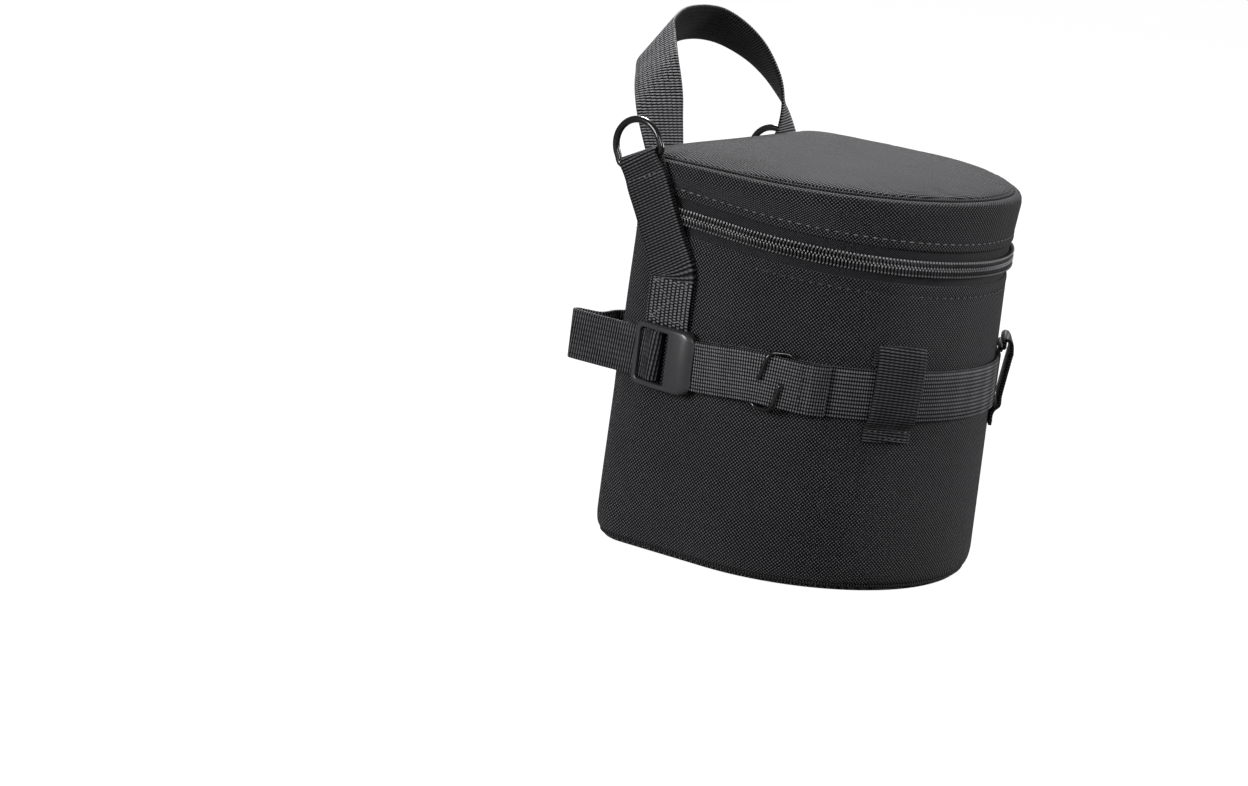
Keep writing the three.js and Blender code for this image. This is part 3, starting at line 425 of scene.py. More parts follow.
black_metal = hard_finish("black wire", (0.012, 0.013), (0.022, 0.024), 0.24, 0.7, 0.6)
usual = {"shell_cloth": shell_cloth, "piping_cloth": cord_cloth, "zip_tape": tape_cloth, "lining": lining_knit,
         "foam": foam_skin, "webbing": tab_webbing, "zip_coil": coil_nylon, "buckle_plastic": buckle_plastic,
         "black_metal": black_metal}
print("finishes", len(bpy.data.materials))

# %% [markdown]
# ## Padding that swells
# Foam under cloth pushes it out between its seams. The cloth is drawn flat first, and Blender's
# Cloth then blows it up from inside, with its sewn edges held. The push is short, and no point may
# move further than a cap, so the pad stays in the space that the model gives it.

# %% Swelling
def edge_points(piece):
    """The vertices on the open edges of a sheet."""
    bm = bmesh.new()
    bm.from_mesh(piece.data)
    found = [v.index for v in bm.verts if v.is_boundary]
    bm.free()
    return found


def swell(piece, pressure, cap, frames=16, stiff=12.0):
    """Runs Cloth with pressure, held at the open edges, and keeps the result, with its moves capped."""
    mesh = piece.data
    rest = [v.co.copy() for v in mesh.vertices]
    sewn = piece.vertex_groups.new(name="sewn")
    sewn.add(edge_points(piece), 1.0, "REPLACE")
    run = piece.modifiers.new("swell", "CLOTH")
    for label, value in (("quality", 4), ("mass", 0.2), ("tension_stiffness", stiff),
                         ("compression_stiffness", stiff), ("shear_stiffness", stiff / 2),
                         ("bending_stiffness", 0.4), ("use_pressure", True), ("uniform_pressure_force", pressure),
                         ("vertex_group_mass", "sewn")):
        setattr(run.settings, label, value)
    run.settings.effector_weights.gravity = 0
    run.point_cache.frame_start = 1
    run.point_cache.frame_end = frames
    for number in range(1, frames + 1):
        scene.frame_set(number)
    grown = piece.evaluated_get(bpy.context.evaluated_depsgraph_get()).data
    moves = [after.co - before for after, before in zip(grown.vertices, rest)]
    piece.modifiers.remove(run)
    piece.vertex_groups.remove(sewn)
    for v, before, move in zip(mesh.vertices, rest, moves):
        v.co = before + move * min(1.0, cap * MM / max(move.length, MERGE))
    scene.frame_set(1)
    print(piece.name, "swelled by up to", round(max(m.length for m in moves) / MM, 2), "mm")


def dress(piece, body, slot, *nodes, finish=None, fill=None):
    """Finish, body, slot and the nodes that a piece stands for."""
    piece.data.materials.append(finish or usual[slot])
    if body:
        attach(piece, body)
    if nodes:
        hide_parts(*nodes)
    return piece


def refinish(piece, finish, chosen):
    """A second finish for the faces that pass a test of their first UV, in millimetres, and their normal."""
    piece.data.materials.append(finish)
    for polygon in piece.data.polygons:
        u, v = piece.data.uv_layers[0].data[polygon.loop_start].uv / MM
        if chosen(u, v, polygon.normal):
            polygon.material_index = 1


print("swelling runs", "in full")

# %% [markdown]
# ## The wall, its back panel and its floor
# One strip of shell cloth runs from back corner to back corner, and a flat panel closes the back.
# Both turn in at the mouth over a narrow hem and tuck into the piping below. A plain extrusion of
# the plan would do for the shape, but the hem, the shallow stitched groove below it and the swell of
# the foam are what make it look sewn, so one profile of (lift, height, share of the mouth's slope)
# runs from the floor seam up and over the hem, and is carried along each strip.

# %% Wall
WALL_FLARE, WALL_STEP, WALL_GAP = 2, 2.4, 0.25
HEM_RUN = 121.5


def wall_lift(z):
    return WALL_FLARE * (1 - z / MOUTH)


wall_rows = [(-1.6, 3.7, 0), (-0.6, 3.3, 0), (0.2, 3.7, 0), (0.9, 4.8, 0), (1.4, 6.2, 0), (1.7, 8.0, 0)]
wall_rows += [(wall_lift(z), z, (z - 10) / (MOUTH - 10)) for z in [10] + spread(13, 119, 3)]
wall_rows += [(0.12, 121, 1), (0.08, 122.0, 1), (-0.3, 122.6, 1), (0.1, 123.2, 1), (0.22, 124.4, 1), (0.2, 125.8, 1),
              (0.0, 126.7, 1), (-0.5, 127.2, 1), (-1.0, 126.6, 1), (-1.1, 125.2, 1)]
wall_places = spread(-CORNER_END + WALL_GAP, CORNER_END - WALL_GAP, WALL_STEP)
back_places = spread(CORNER_END + WALL_GAP, 2 * HALF - CORNER_END - WALL_GAP, WALL_STEP)
back_runs = [WALL_STEP * k for k in range(len(back_places))]
for name, places, runs, tucks, cap, node, fill in (
        ("body_wall", wall_places, wall_places, (0.9 * 0.875 ** 2,), 1.2, "body_wrap", 0.5),
        ("back_cloth", back_places, back_runs, (0.9, 0.225), 0.9, "back_panel", 0.4)):
    rings = []
    for k, s in enumerate(places):
        near = min(k, len(places) - 1 - k)
        tuck = tucks[near] if near < len(tucks) else 0
        rings.append([wall(s, lift - tuck, z, SLOPE * share) for lift, z, share in wall_rows])
    piece = loft(name, rings, closed_ring=False, inside=HUB, along=[run * MM for run in runs])
    swell(piece, 3.0, cap)
    dress(thicken(piece, 1.0), "case", "shell_cloth", node, fill=fill)
    refinish(piece, fold_cloth, lambda u, v, normal: v > HEM_RUN)
    print(name, len(piece.data.polygons), "faces")

# %% [markdown]
# ## Rings, cords and panels
# The piping is a cord wrapped in cloth, sewn into the floor seam and again into the lid's seam. The
# floor, the foam and the lining are closed rings or dished panels. All of them follow the plan, so
# one helper carries any profile round it, and another runs a profile in to the middle.

# %% Rings round the plan
ROUND = [HALF * (k / 92 - 1) for k in range(184)]
MIDDLE = Vector((0, -6.5, 0)) * MM
CUT_X, CUT_Y = 0.94, 0.34


def ring_piece(name, profile, slope=SLOPE, step=1):
    """A closed profile of (lift, height) pairs carried round the whole plan."""
    return loft(name, [[wall(s, lift, z, slope) for lift, z in profile] for s in ROUND[::step]], closed_path=True)


def cord_profile(lift, z, radius, sides=12):
    return arc(lift, z, radius, [tau * k / sides for k in range(sides)])


def panel_piece(name, profile, step=2, inside=None):
    """A profile of (lift, height, share) rows; a share under 1 draws its row in towards the middle."""
    rings = []
    for s in ROUND[::step]:
        rings.append([])
        for lift, z, share in profile:
            x, y, z = wall(s, lift, z)
            rings[-1].append(Vector((MIDDLE.x + (x - MIDDLE.x) * share, MIDDLE.y + (y - MIDDLE.y) * share, z)))
    return loft(name, rings, closed_ring=False, closed_path=True, inside=inside, facing=-1)


def lay_flat(piece, level=0.0):
    """Lays the UV map of level faces on their own x and y, so that the weave runs straight."""
    for polygon in piece.data.polygons:
        if abs(polygon.normal.z) >= level:
            for corner, v in zip(polygon.loop_indices, polygon.vertices):
                x, y, _ = piece.data.vertices[v].co
                piece.data.uv_layers[0].data[corner].uv = (x * CUT_X + y * CUT_Y, y * CUT_X - x * CUT_Y)
    return piece


dress(ring_piece("bottom_cord", cord_profile(-0.9, 2.9, 0.85), 0), "case", "piping_cloth", "bottom_piping")
floor_rows = [(-1.7, 2.4, 1), (-1.5, 1.7, 1), (-1.9, 0.9, 1), (-3.0, 0.3, 1), (-5.4, 0, 1)]
floor_rows += [(-7.9, 0, share) for share in (1, 0.8, 0.5, 0.2, 0)]
dress(thicken(lay_flat(panel_piece("floor_cloth", floor_rows)), 1.2), "case", "shell_cloth", "bottom_panel")
print("rings have", len(ROUND), "places")

# %% [markdown]
# ## Foam, lining and bindings
# The foam and the grey knit lining show only when the lid is open. They are closed shells inside
# the wall: a foam ring and floor, a lining cup that dips to the floor, and a tape that binds the
# two together round the mouth. The lid has the same set, upside down.

# %% Inside of the case
FLOOR_SMOOTHING = 12
wall_foam = ring_piece("wall_foam", [
    (-2.9, 132.2), (-2.9, 122.2), (-1.9, 120), (0.2, 12), (-1.0, 8.5), (-3.2, 6.2), (-12.5, 6.2), (-12.6, 60),
    (-12.6, 132.2)], step=2)
dress(wall_foam, "case", "foam", "wall_padding")
floor_foam = panel_piece("floor_foam", [
    (-13.2, 1.9, 0.0), (-13.2, 1.9, 0.5), (-13.4, 1.9, 1), (-13.1, 2.6, 1), (-13.1, 8.6, 1), (-13.4, 9.3, 1),
    (-13.4, 9.3, 0.5), (-13.4, 9.3, 0.0)])
dress(floor_foam, "case", "foam", "bottom_padding")


def cup(name, rim, deep, pressure, down=24, across=16):
    """A lining cup: along the wall from the rim, round a soft corner and in to the middle."""
    way = 1 if deep < rim else -1
    rows = [(-13.2, rim, 1), (-13.5, rim + (deep - rim) * 0.02, 1)]
    rows += [(-13.7, rim + (deep - rim) * k / down, 1) for k in range(1, down)]
    rows += [(-13.8, deep + 3.0 * way, 1), (-14.6, deep + 0.9 * way, 1)]
    rows += [(-16.6, deep, k / across) for k in range(across, -1, -1)]
    piece = panel_piece(name, rows, inside=Vector((0, 0, (rim + deep) / 2 * MM)))
    for v in piece.data.vertices:
        v.co.z += SLOPE * v.co.y * clamped((v.co.z / MM - deep) / (rim - deep)) ** 2
    lay_flat(piece, 0.8)
    swell(piece, pressure, 0.5, frames=10)
    bm = bmesh.new()
    bm.from_mesh(piece.data)
    level = [v for v in bm.verts if not v.is_boundary and abs(v.co.z / MM - deep) < 2]
    for _ in range(FLOOR_SMOOTHING):
        bmesh.ops.smooth_vert(bm, verts=level, factor=0.5, use_axis_z=True)
    bm.to_mesh(piece.data)
    bm.free()
    return thicken(piece, 0.7)


def band_profile(outer, inner, low, high, corner=0.45):
    """A rectangle of (lift, height) with softened corners."""
    return [(outer, low + corner), (outer, high - corner), (outer - corner, high), (inner + corner, high),
            (inner, high - corner), (inner, low + corner), (inner + corner, low), (outer - corner, low)]


dress(cup("case_lining", 132.2, 10.8, 1.5), "case", "lining", "body_lining", fill=0.3)
dress(ring_piece("mouth_tape", band_profile(-2.75, -13.95, 132.65, 133.55)), "case", "zip_tape", "mouth_binding")
print("the case is", len(pieces), "pieces so far")

# %% Inside of the lid
lid_foam = ring_piece("lid_foam", [(-2.8, 147.4), (-2.8, 135.9), (-12.6, 135.9), (-12.6, 147.4)], 0, 2)
for v in lid_foam.data.vertices:
    if v.co.z < 0.14:
        v.co.z += SLOPE * v.co.y
dress(lid_foam, "lid", "foam", "lid_wall_padding")

DOME = [(1, 0), (0.96, 0.34), (0.87, 0.64), (0.7, 0.85), (0.4, 0.97), (0, 1)]
dome_rows = [(-3.8, 148.2, share) for share in (0.0, 0.6, 1)]
dome_rows += [(-3.8, 155.6 + 3.9 * rise, share) for share, rise in DOME]
dress(panel_piece("dome_foam", dome_rows), "lid", "foam", "lid_top_padding")
dress(cup("lid_cup", 135.9, 147.0, 0.2), "lid", "lining", "lid_lining", fill=0.3)
dress(ring_piece("lid_tape", band_profile(-2.75, -13.95, 134.45, 135.35)), "lid", "zip_tape", "lid_binding")
print("linings ready")

# %% [markdown]
# ## The lid: skirt, seam and padded top
# The skirt is a band of shell cloth that bulges just under the seam and pulls in to a folded hem.
# The top is a crowned pad sewn to it, and a thin corded seam lies between them. The top swells by
# Cloth with its rim held, which rounds its edge as the foam does on the real lid.

# %% Lid
RIM, CROWN = 157.0, 4.0
PUFF_MIDDLE, PUFF_REACH, PUFF_DEEP = 149, 6, 0.2
skirt_rows = [(-2.2, 155.4, 0), (-1.7, 156.0, 0), (-0.9, 156.15, 0), (0.1, 155.9, 0), (1.0, 155.2, 0),
              (1.65, 154.0, 0), (1.95, 152.4, 0), (1.9, 150.6, 0), (1.6, 148.8, 0.2), (1.2, 146.9, 0.5),
              (0.85, 145.4, 0.8), (0.65, 144.4, 1), (0.3, 143.9, 1), (0.65, 143.4, 1), (0.8, 142.4, 1),
              (0.7, 141.4, 1), (0.3, 140.7, 1), (-0.2, 140.8, 1), (-0.5, 141.7, 1)]


def skirt_lift(s, lift):
    """The bulge is flatter by the two ring tabs, which press on it."""
    low, share, middle, wide = (0.8, 0.6, 142, 16) if s > 0 else (0.1, 0.97, -144, 24)
    return lift if lift < low else low + (lift - low) * (1 - share * exp(-((s - middle) / wide) ** 2))


skirt_cloth = loft("skirt_cloth", [[wall(s, skirt_lift(s, lift), z, SLOPE * share) for lift, z, share in skirt_rows]
                                   for s in ROUND], closed_ring=False, closed_path=True, inside=HUB)
for v in skirt_cloth.data.vertices:
    around = atan2(v.co.x, -v.co.y)
    puff = max(0.0, 1 - abs(v.co.z / MM - PUFF_MIDDLE) / PUFF_REACH) * PUFF_DEEP * MM
    push = puff * (sin(around * 9 + 1.0) + 0.6 * sin(around * 17 + 2.3))
    v.co.x += push * sin(around)
    v.co.y -= push * cos(around)
dress(thicken(skirt_cloth, 0.9), "lid", "shell_cloth", "lid_skirt")
dress(ring_piece("lid_cord", cord_profile(-2.3, 156.3, 0.8), 0), "lid", "piping_cloth", "lid_piping")

top_rows = [(-2.7, 155.4, 1), (-2.5, 156.4, 1)]
top_rows += [(-2.6, RIM + CROWN * rise, share) for share, rise in
             [(0.997, 0.08), (0.99, 0.19), (0.975, 0.33), (0.955, 0.47), (0.92, 0.6)]]
top_rows += [(-2.6, RIM + CROWN * (0.6 + 0.4 * sin(pi / 2 * (1 - k / 20) ** 0.8)), 0.92 * k / 20)
             for k in range(19, -1, -1)]
top_cloth = lay_flat(panel_piece("top_cloth", top_rows, step=1))
swell(top_cloth, 2.0, 1.0)
dress(thicken(top_cloth, 1.0), "lid", "shell_cloth", "lid_top_panel", fill=0.6)
print("lid", len(top_cloth.data.polygons), "faces")

# %% [markdown]
# ## The zip
# The tapes are flat bands behind the teeth. The teeth are the turns of two nylon coils: each turn is
# a small slanted loop, and the loops of one coil sit between the loops of the other. A texture of
# teeth would look flat from the side, so one loop is modelled with few faces and repeated, first up
# and then down, leaning opposite ways, which gives the herringbone down the middle of the chain.

# %% Zip tapes and teeth
ZIP_END = CORNER_END - TURN / 4
PITCH, STITCH, COIL_LIFT = 1.4, 3.7, 0.55


def band_piece(name, profile, places):
    """A closed profile of (lift, height) pairs carried along part of the plan, with the mouth's slope."""
    return loft(name, [[wall(s, lift, z, SLOPE) for lift, z in profile] for s in places])


for side, lift, low, high, body in (("lower", -0.7, 122.9, 133.6, "case"), ("upper", -0.4, 134.4, 142.8, "lid")):
    profile = band_profile(lift, lift - 0.9, low, high, 0.25)
    tape = band_piece(side + "_tape", profile, spread(-ZIP_END, ZIP_END, 2.2))
    dress(tape, body, "zip_tape", side + "_zip_tape")


def station(s, lift, z):
    """A frame on the zip's plane at s: X along the wall, Y up, Z outwards."""
    normal = plan(s)[1]
    along = Vector((normal.y, -normal.x, 0))
    along.z = SLOPE * along.y
    along.normalize()
    up = normal.cross(along)
    if up.z < 0:
        up, along = -up, -along
    place = Matrix((along, up, normal)).transposed().to_4x4()
    place.translation = wall(s, lift, z, SLOPE)
    return place


def repeat(name, unit, places, slant=0.0):
    """Copies of a small mesh, set down at each frame and turned by the slant."""
    bm = bmesh.new()
    turn = Matrix.Rotation(slant, 4, "Z")
    for place in places:
        placed = unit.copy()
        placed.transform(place @ turn)
        bm.from_mesh(placed)
        bpy.data.meshes.remove(placed)
    return finish_mesh(name, bm)


def bead(wide, high, deep, segments=6, rings=4):
    """A rounded grain: the stitch, or one turn of the coil."""
    bm = bmesh.new()
    bmesh.ops.create_uvsphere(bm, u_segments=segments, v_segments=rings, radius=0.5)
    bmesh.ops.rotate(bm, matrix=Matrix.Rotation(pi / 2, 3, "X"), verts=bm.verts)
    for v in bm.verts:
        v.co.y = copysign(abs(v.co.y * 2) ** 0.7 / 2, v.co.y)
    bmesh.ops.scale(bm, vec=(wide * MM, high * MM, deep * MM), verts=bm.verts)
    mesh = bpy.data.meshes.new("bead")
    bm.to_mesh(mesh)
    bm.free()
    return mesh


coil_turn, coil_head, chain_stitch = bead(0.95, 3.3, 2.0, 8, 6), bead(0.6, 0.8, 0.8), bead(0.75, 0.95, 0.7)
webbing_stitch, hem_stitch = bead(1.5, 0.5, 0.45), bead(2.3, 0.5, 0.45)
zip_places = spread(-ZIP_END + 1.2, ZIP_END - 1.2, PITCH)
lid_places = [s + PITCH / 2 for s in zip_places[:-1]]
chain_places = spread(-ZIP_END + 1, ZIP_END - 1, PITCH)
chain_lift, head_lift = COIL_LIFT + 0.95, COIL_LIFT + 0.9
for name, body, slot, finish, unit, slant, lift, z, places, *nodes in (
        ("lower_teeth", "case", "zip_coil", None, coil_turn, 0.14, COIL_LIFT, ZIP - 1.5, zip_places, "lower_zip_coil"),
        ("upper_teeth", "lid", "zip_coil", None, coil_turn, -0.14, COIL_LIFT, ZIP + 1.5, lid_places, "upper_zip_coil"),
        ("coil_seam_case", "case", "zip_coil", lit_thread, chain_stitch, -0.5, chain_lift, ZIP - 2.75, chain_places),
        ("coil_heads_case", "case", "zip_coil", seam_nylon, coil_head, 0.3, head_lift, ZIP - 0.42, zip_places[:-1]),
        ("coil_seam_lid", "lid", "zip_coil", seam_nylon, chain_stitch, 0.5, chain_lift, ZIP + 2.75, chain_places),
        ("coil_heads_lid", "lid", "zip_coil", seam_nylon, coil_head, 0.3, head_lift, ZIP + 0.42, lid_places),
        ("skirt_stitches", "lid", "shell_cloth", lit_thread, hem_stitch, 0, 0.62, 143.9,
         spread(-HALF, HALF, STITCH)[:-1]),
        ("mouth_stitches", "case", "shell_cloth", thread, hem_stitch, 0, 0.05, 122.6,
         spread(-CORNER_END + 2, CORNER_END - 2, STITCH))):
    row = repeat(name, unit, [station(s, lift, z) for s in places], slant)
    dress(row, body, slot, *nodes, finish=finish)
print("teeth", len(zip_places))

# %% [markdown]
# ## The hinge
# Across the flat back, between the ends of the zip, one strip of cloth joins the lid to the case. On
# the real pouch it bends as the lid opens. Here it is one still sheet, drawn from the case at its foot
# to the lid at its head, and bound to neither of them.

# %% Hinge cloth
HINGE_Y = 59.9
HINGE_Z = ZIP + SLOPE * HINGE_Y
hinge_profile = [(-2.35, 122.5), (-1.75, 122.3), (-1.6, 124)] + [(-1.6, z) for z in spread(126, 140, 1)] + [
    (-1.6, 141.3), (-1.75, 142.0), (-2.35, 141.8)] + [(-2.4, z) for z in spread(140, 124, 1)]
hinge_cloth = band_piece("hinge_cloth", hinge_profile, spread(ZIP_END + 0.6, 2 * HALF - ZIP_END - 0.6, 2.4))
dress(hinge_cloth, None, "zip_tape", "hinge_strip", "lid_hinge_strip")
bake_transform(hinge_cloth)
print("hinge cloth", len(hinge_cloth.data.polygons), "faces")

# %% [markdown]
# ## Webbing
# The handle, the strap, the tabs and the loops are all one 20 mm webbing. Its cross ribs catch the
# light, so they are modelled: the strip is cut every third of a millimetre or so, and its thickness
# rises and falls from rib to rib. The path of each strip is a few points with a smooth curve
# through them, and each point carries the direction of the strip's width, so that it can twist.

# %% Webbing helpers
CUT, RELIEF = 0.367, 0.05


def smooth(stations, step=CUT):
    """A smooth curve through (point, across, width share) stations, cut at even distances."""
    rows = [Vector((*p, *a, w)) for p, a, w in stations]
    ends = [rows[0] * 2 - rows[1]] + rows + [rows[-1] * 2 - rows[-2]]
    dense = []
    for a, b, c, d in zip(ends, ends[1:], ends[2:], ends[3:]):
        cuts = max(2, min(24, round((c - b).length / step)))
        for t in (k / cuts for k in range(cuts)):
            dense.append(0.5 * (2 * b + (c - a) * t + (2 * a - 5 * b + 4 * c - d) * t ** 2
                                + (3 * b - a - 3 * c + d) * t ** 3))
    dense.append(rows[-1])
    run = lengths([Vector(row[:3]) for row in dense])
    cut, k = [], 0
    for far in spread(0, run[-1], step):
        while k < len(run) - 2 and run[k + 1] < far:
            k += 1
        share = (far - run[k]) / max(run[k + 1] - run[k], 1e-9)
        row = dense[k].lerp(dense[k + 1], min(share, 1.0))
        cut.append((Vector(row[:3]), Vector(row[3:6]), row[6]))
    return cut


def webbing(name, stations, lift_of=None, askew=False):
    """A ribbed strip along stations of (point, across, width share), in millimetres. An askew one has flat ribs."""
    path = smooth(stations)
    run = lengths([point for point, _, _ in path])
    rings, skew = [], []
    for k, (point, across, share) in enumerate(path):
        tangent = (path[min(k + 1, len(path) - 1)][0] - path[max(k - 1, 0)][0]).normalized()
        out = tangent.cross(across).normalized()
        skew.append(across.dot(tangent) if askew else 0.0)
        across = across if askew else out.cross(tangent)
        deep = WEB_THICK * (1 + (0 if askew else RELIEF) * cos(tau * run[k] / RIB))
        if lift_of:
            deep *= lift_of(run[k])
        rings.append([(point + across * x * share + out * y) * MM for x, y in strip_section(deep)])
    rows = [(x + WEB / 2) * MM for x, _ in strip_section(WEB_THICK)]
    return loft(name, rings, along=[far * MM for far in run], across=rows + rows[:1], skew=skew)


def boxed_cross(middle, side, half_wide, half_high, out):
    """Stitch lines of (start, end, outward normal): a box with a cross in it."""
    corners = [middle + side * half_wide * a + UP * half_high * b for a, b in ((-1, -1), (1, -1), (1, 1), (-1, 1))]
    return [(corners[a], corners[b], out) for a, b in ((0, 1), (1, 2), (2, 3), (3, 0), (0, 2), (1, 3))]


def seam(name, lines, finish=dark_thread, pitch=2.4):
    """Rows of stitches along lines of (start, end, outward normal), in millimetres."""
    frames = []
    for start, end, out in lines:
        run = (end - start).normalized()
        turned = Matrix((run, out.cross(run), out)).transposed().to_4x4()
        for far in spread(0.8, (end - start).length - 0.8, pitch):
            frames.append(Matrix.Translation((start + run * far) * MM) @ turned)
    dress(repeat(name, webbing_stitch, frames), "case", "webbing", finish=finish)


print("webbing is cut every", CUT, "mm")

# %% [markdown]
# ## The carry handle
# One length of webbing rises from the back edge of the lid. Its left leg turns to the front and rolls
# over into an arch that leans back, and its right leg turns flat again. A flat strip rolls over along
# a slanting line, so each station gives the strip's own direction, and the pattern is slanted with it.
# Its outer faces are painted brighter than the other webbing, as lit, and the inner faces of the arch
# are painted dark, as painted shade.

# %% Handle
HANDLE_SPAN, HANDLE_RISE, HANDLE_BACK, HANDLE_SWAY, LEG_SHARE = 92, 71, 30, 8, 0.49
ANCHOR_FOOT, ANCHOR_SEAM, ANCHOR_GAP = 93, 105, 0.3
# Shares of the span, the rise and the lean, then the direction of the strip's width
HANDLE = [
    (-0.49, 0, 0, 1, 0, 0), (-0.49, 0.124, 0.03, 0.996, -0.101, 0.016),
    (-0.489, 0.243, 0.105, 0.971, -0.219, 0.154), (-0.488, 0.357, 0.183, 0.916, -0.333, 0.333),
    (-0.487, 0.459, 0.248, 0.816, -0.463, 0.529), (-0.482, 0.55, 0.324, 0.729, -0.514, 0.69),
    (-0.458, 0.621, 0.425, 0.617, -0.527, 0.823), (-0.416, 0.682, 0.545, 0.564, -0.514, 0.874),
    (-0.364, 0.739, 0.669, 0.513, -0.495, 0.912), (-0.305, 0.795, 0.797, 0.453, -0.484, 0.932),
    (-0.222, 0.83, 0.874, 0.353, -0.492, 0.916), (-0.127, 0.854, 0.911, 0.223, -0.467, 0.916),
    (-0.027, 0.87, 0.919, 0.092, -0.517, 0.872), (0.073, 0.879, 0.902, -0.046, -0.602, 0.799),
    (0.166, 0.872, 0.839, -0.194, -0.658, 0.734), (0.248, 0.84, 0.722, -0.355, -0.7, 0.648),
    (0.317, 0.786, 0.574, -0.484, -0.704, 0.576), (0.374, 0.715, 0.417, -0.607, -0.682, 0.497),
    (0.416, 0.628, 0.27, -0.717, -0.634, 0.413), (0.447, 0.531, 0.144, -0.805, -0.569, 0.329),
    (0.466, 0.43, 0.053, -0.903, -0.446, 0.206), (0.476, 0.328, 0.011, -0.97, -0.276, 0.061),
    (0.482, 0.227, 0.01, -0.999, -0.041, -0.068), (0.487, 0.116, 0.025, -0.998, 0.08, -0.014),
    (0.49, 0, 0, -1, 0, 0)]
handle_foot = Vector((HANDLE_SWAY, HINGE_Y - 1.0, HINGE_Z + 0.18))
handle_path = [(handle_foot + Vector((x * HANDLE_SPAN, deep * HANDLE_BACK, rise * HANDLE_RISE)), Vector(across), 1.0)
               for x, rise, deep, *across in HANDLE]
handle_web = webbing("handle_web", handle_path, askew=True)
dress(handle_web, "handle", "webbing", "carry_handle", finish=handle_painted_lit)
places, ways, _ = zip(*smooth(handle_path))


def faces_in(u, v, normal):
    """Whether a face lies on the inner side of the arch, which is painted dark as shade."""
    k = min(max(1, round(u / CUT)), len(places) - 2)
    return normal.dot((places[k + 1] - places[k - 1]).cross(ways[k])) > 0


# Painted shade: the inner faces of the arch take the dark copy of the webbing.
refinish(handle_web, inner_painted_shade, faces_in)

EAST, NORTH = Vector((1, 0, 0)), Vector((0, 1, 0))
for name, side in (("left", -1), ("right", 1)):
    x = side * HANDLE_SPAN * LEG_SHARE + HANDLE_SWAY
    y = BACK_DEEP + wall_lift(ANCHOR_FOOT) + ANCHOR_GAP + WEB_THICK / 2
    leg = [(Vector((x, y - sunk, z)), EAST, 1.0) for z, sunk in ((ANCHOR_FOOT, 0.2), (95, 0), (120, 0), (137, 0))]
    dress(webbing(name + "_anchor", leg), "case", "webbing", "handle_anchor_" + name)
    face = Vector((x, y + WEB_THICK / 2 + 0.05, ANCHOR_SEAM))
    seam(name + "_anchor_stitches", boxed_cross(face, EAST, 8, 10, NORTH))
print("handle", len(handle_web.data.polygons), "faces")

# %% [markdown]
# ## Ring tabs and D-rings
# A tab is one strip folded over the bar of its ring, and sewn to the wall through both layers with a
# boxed cross. It stands up from its stitching and leans back to the ring. The ring is round wire
# bent to a D, so it is a loft of circles along the D.

# %% Tabs and rings
TAB_REACH, TAB_TOP, TAB_LIFT, TAB_SEWN_RUN, RING_WIRE = 47, 113, 2.9, 18.5, 1.4
BOX_DOWN, BOX_HALF, NECK_DOWN, NECK_HALF = 10.5, 7.5, 7.2, 8.4
# (along the tab, outwards, width share) from the sewn foot up to the ring, over its bar and down behind
TAB_SEWN = [(-20.5, -0.1), (-19, 0.45), (-12, 0.72), (-6, 0.72), (-1.5, 0.75)]
TAB_FREE = [(1.2, 0.78, 1), (6, 0.8, 1), (14, 0.75, 0.94), (26, 0.7, 0.94), (36, 0.75, 0.97), (41, 1.0, 0.93),
            (44.6, 2.0, 0.885), (46.4, 2.42, 0.885)]
TAB_OVER = [(46.9 + 2.4 * sin(a), 2.4 * cos(a), 0.885) for a in (0.5, 1.1, 1.57, 2.04, 2.6)]
TAB_DOWN = [(r, -w, share) for r, w, share in TAB_FREE[::-1]]


def wire(name, points, radius, closed=False, sides=12, tapered=False):
    """Round wire through points, in millimetres, with its section carried along without twist."""
    last = len(points) - 1
    turns = [tau * j / sides for j in range(sides)]
    rings, side_way = [], None
    for k, point in enumerate(points):
        after = points[(k + 1) % len(points) if closed else min(k + 1, last)]
        before = points[k - 1 if closed or k else 0]
        tangent = (after - before).normalized()
        if side_way is None:
            side_way = tangent.orthogonal().normalized()
        side_way = (side_way - tangent * side_way.dot(tangent)).normalized()
        other = tangent.cross(side_way)
        slim = radius * (min(1.0, 0.45 + 0.3 * min(k, last - k)) if tapered else 1.0)
        rings.append([(point + (side_way * cos(a) + other * sin(a)) * slim) * MM for a in turns])
    return loft(name, rings, closed_path=closed)


def ring_tab(side, s, lean, splay):
    """A sewn tab; returns the place of its ring and the ring's two directions."""
    foot, out = plan(s, TAB_LIFT)
    foot.z = TAB_TOP
    tilt, lean = radians(splay), radians(lean)
    outward = out * cos(tilt) - UP * sin(tilt)
    tilted = UP * cos(tilt) + out * sin(tilt)
    backwards = UP.cross(out)
    if backwards.y < 0:
        backwards = -backwards
    reach = tilted * cos(lean) + backwards * sin(lean)
    across = backwards * cos(lean) - tilted * sin(lean)
    head = foot + reach * TAB_REACH
    stations = [(foot + UP * r + out * w, backwards, 1.0) for r, w in TAB_SEWN]
    stations += [(foot + reach * r + outward * w, across, share) for r, w, share in TAB_FREE + TAB_OVER + TAB_DOWN]
    stations += [(foot + UP * r - out * (0.72 + k * 0.25), backwards, 1.0)
                 for k, r in enumerate((-2.5, -8, -14, -20, -22.2))]
    piece = dress(webbing(side + "_tab", stations), "case", "webbing", "d_ring_tab_" + side)
    # Painted light: the sewn foot of the tab takes the brighter copy of the webbing.
    refinish(piece, sewn_painted_lit, lambda u, v, normal: u < TAB_SEWN_RUN)
    lines = boxed_cross(foot - UP * BOX_DOWN + out * 1.5, backwards, BOX_HALF, BOX_HALF, out)
    neck = head - reach * NECK_DOWN + outward * 1.55
    lines.append((neck - across * NECK_HALF, neck + across * NECK_HALF, outward))
    seam(side + "_tab_stitches", lines, lit_thread)
    return head, across, reach


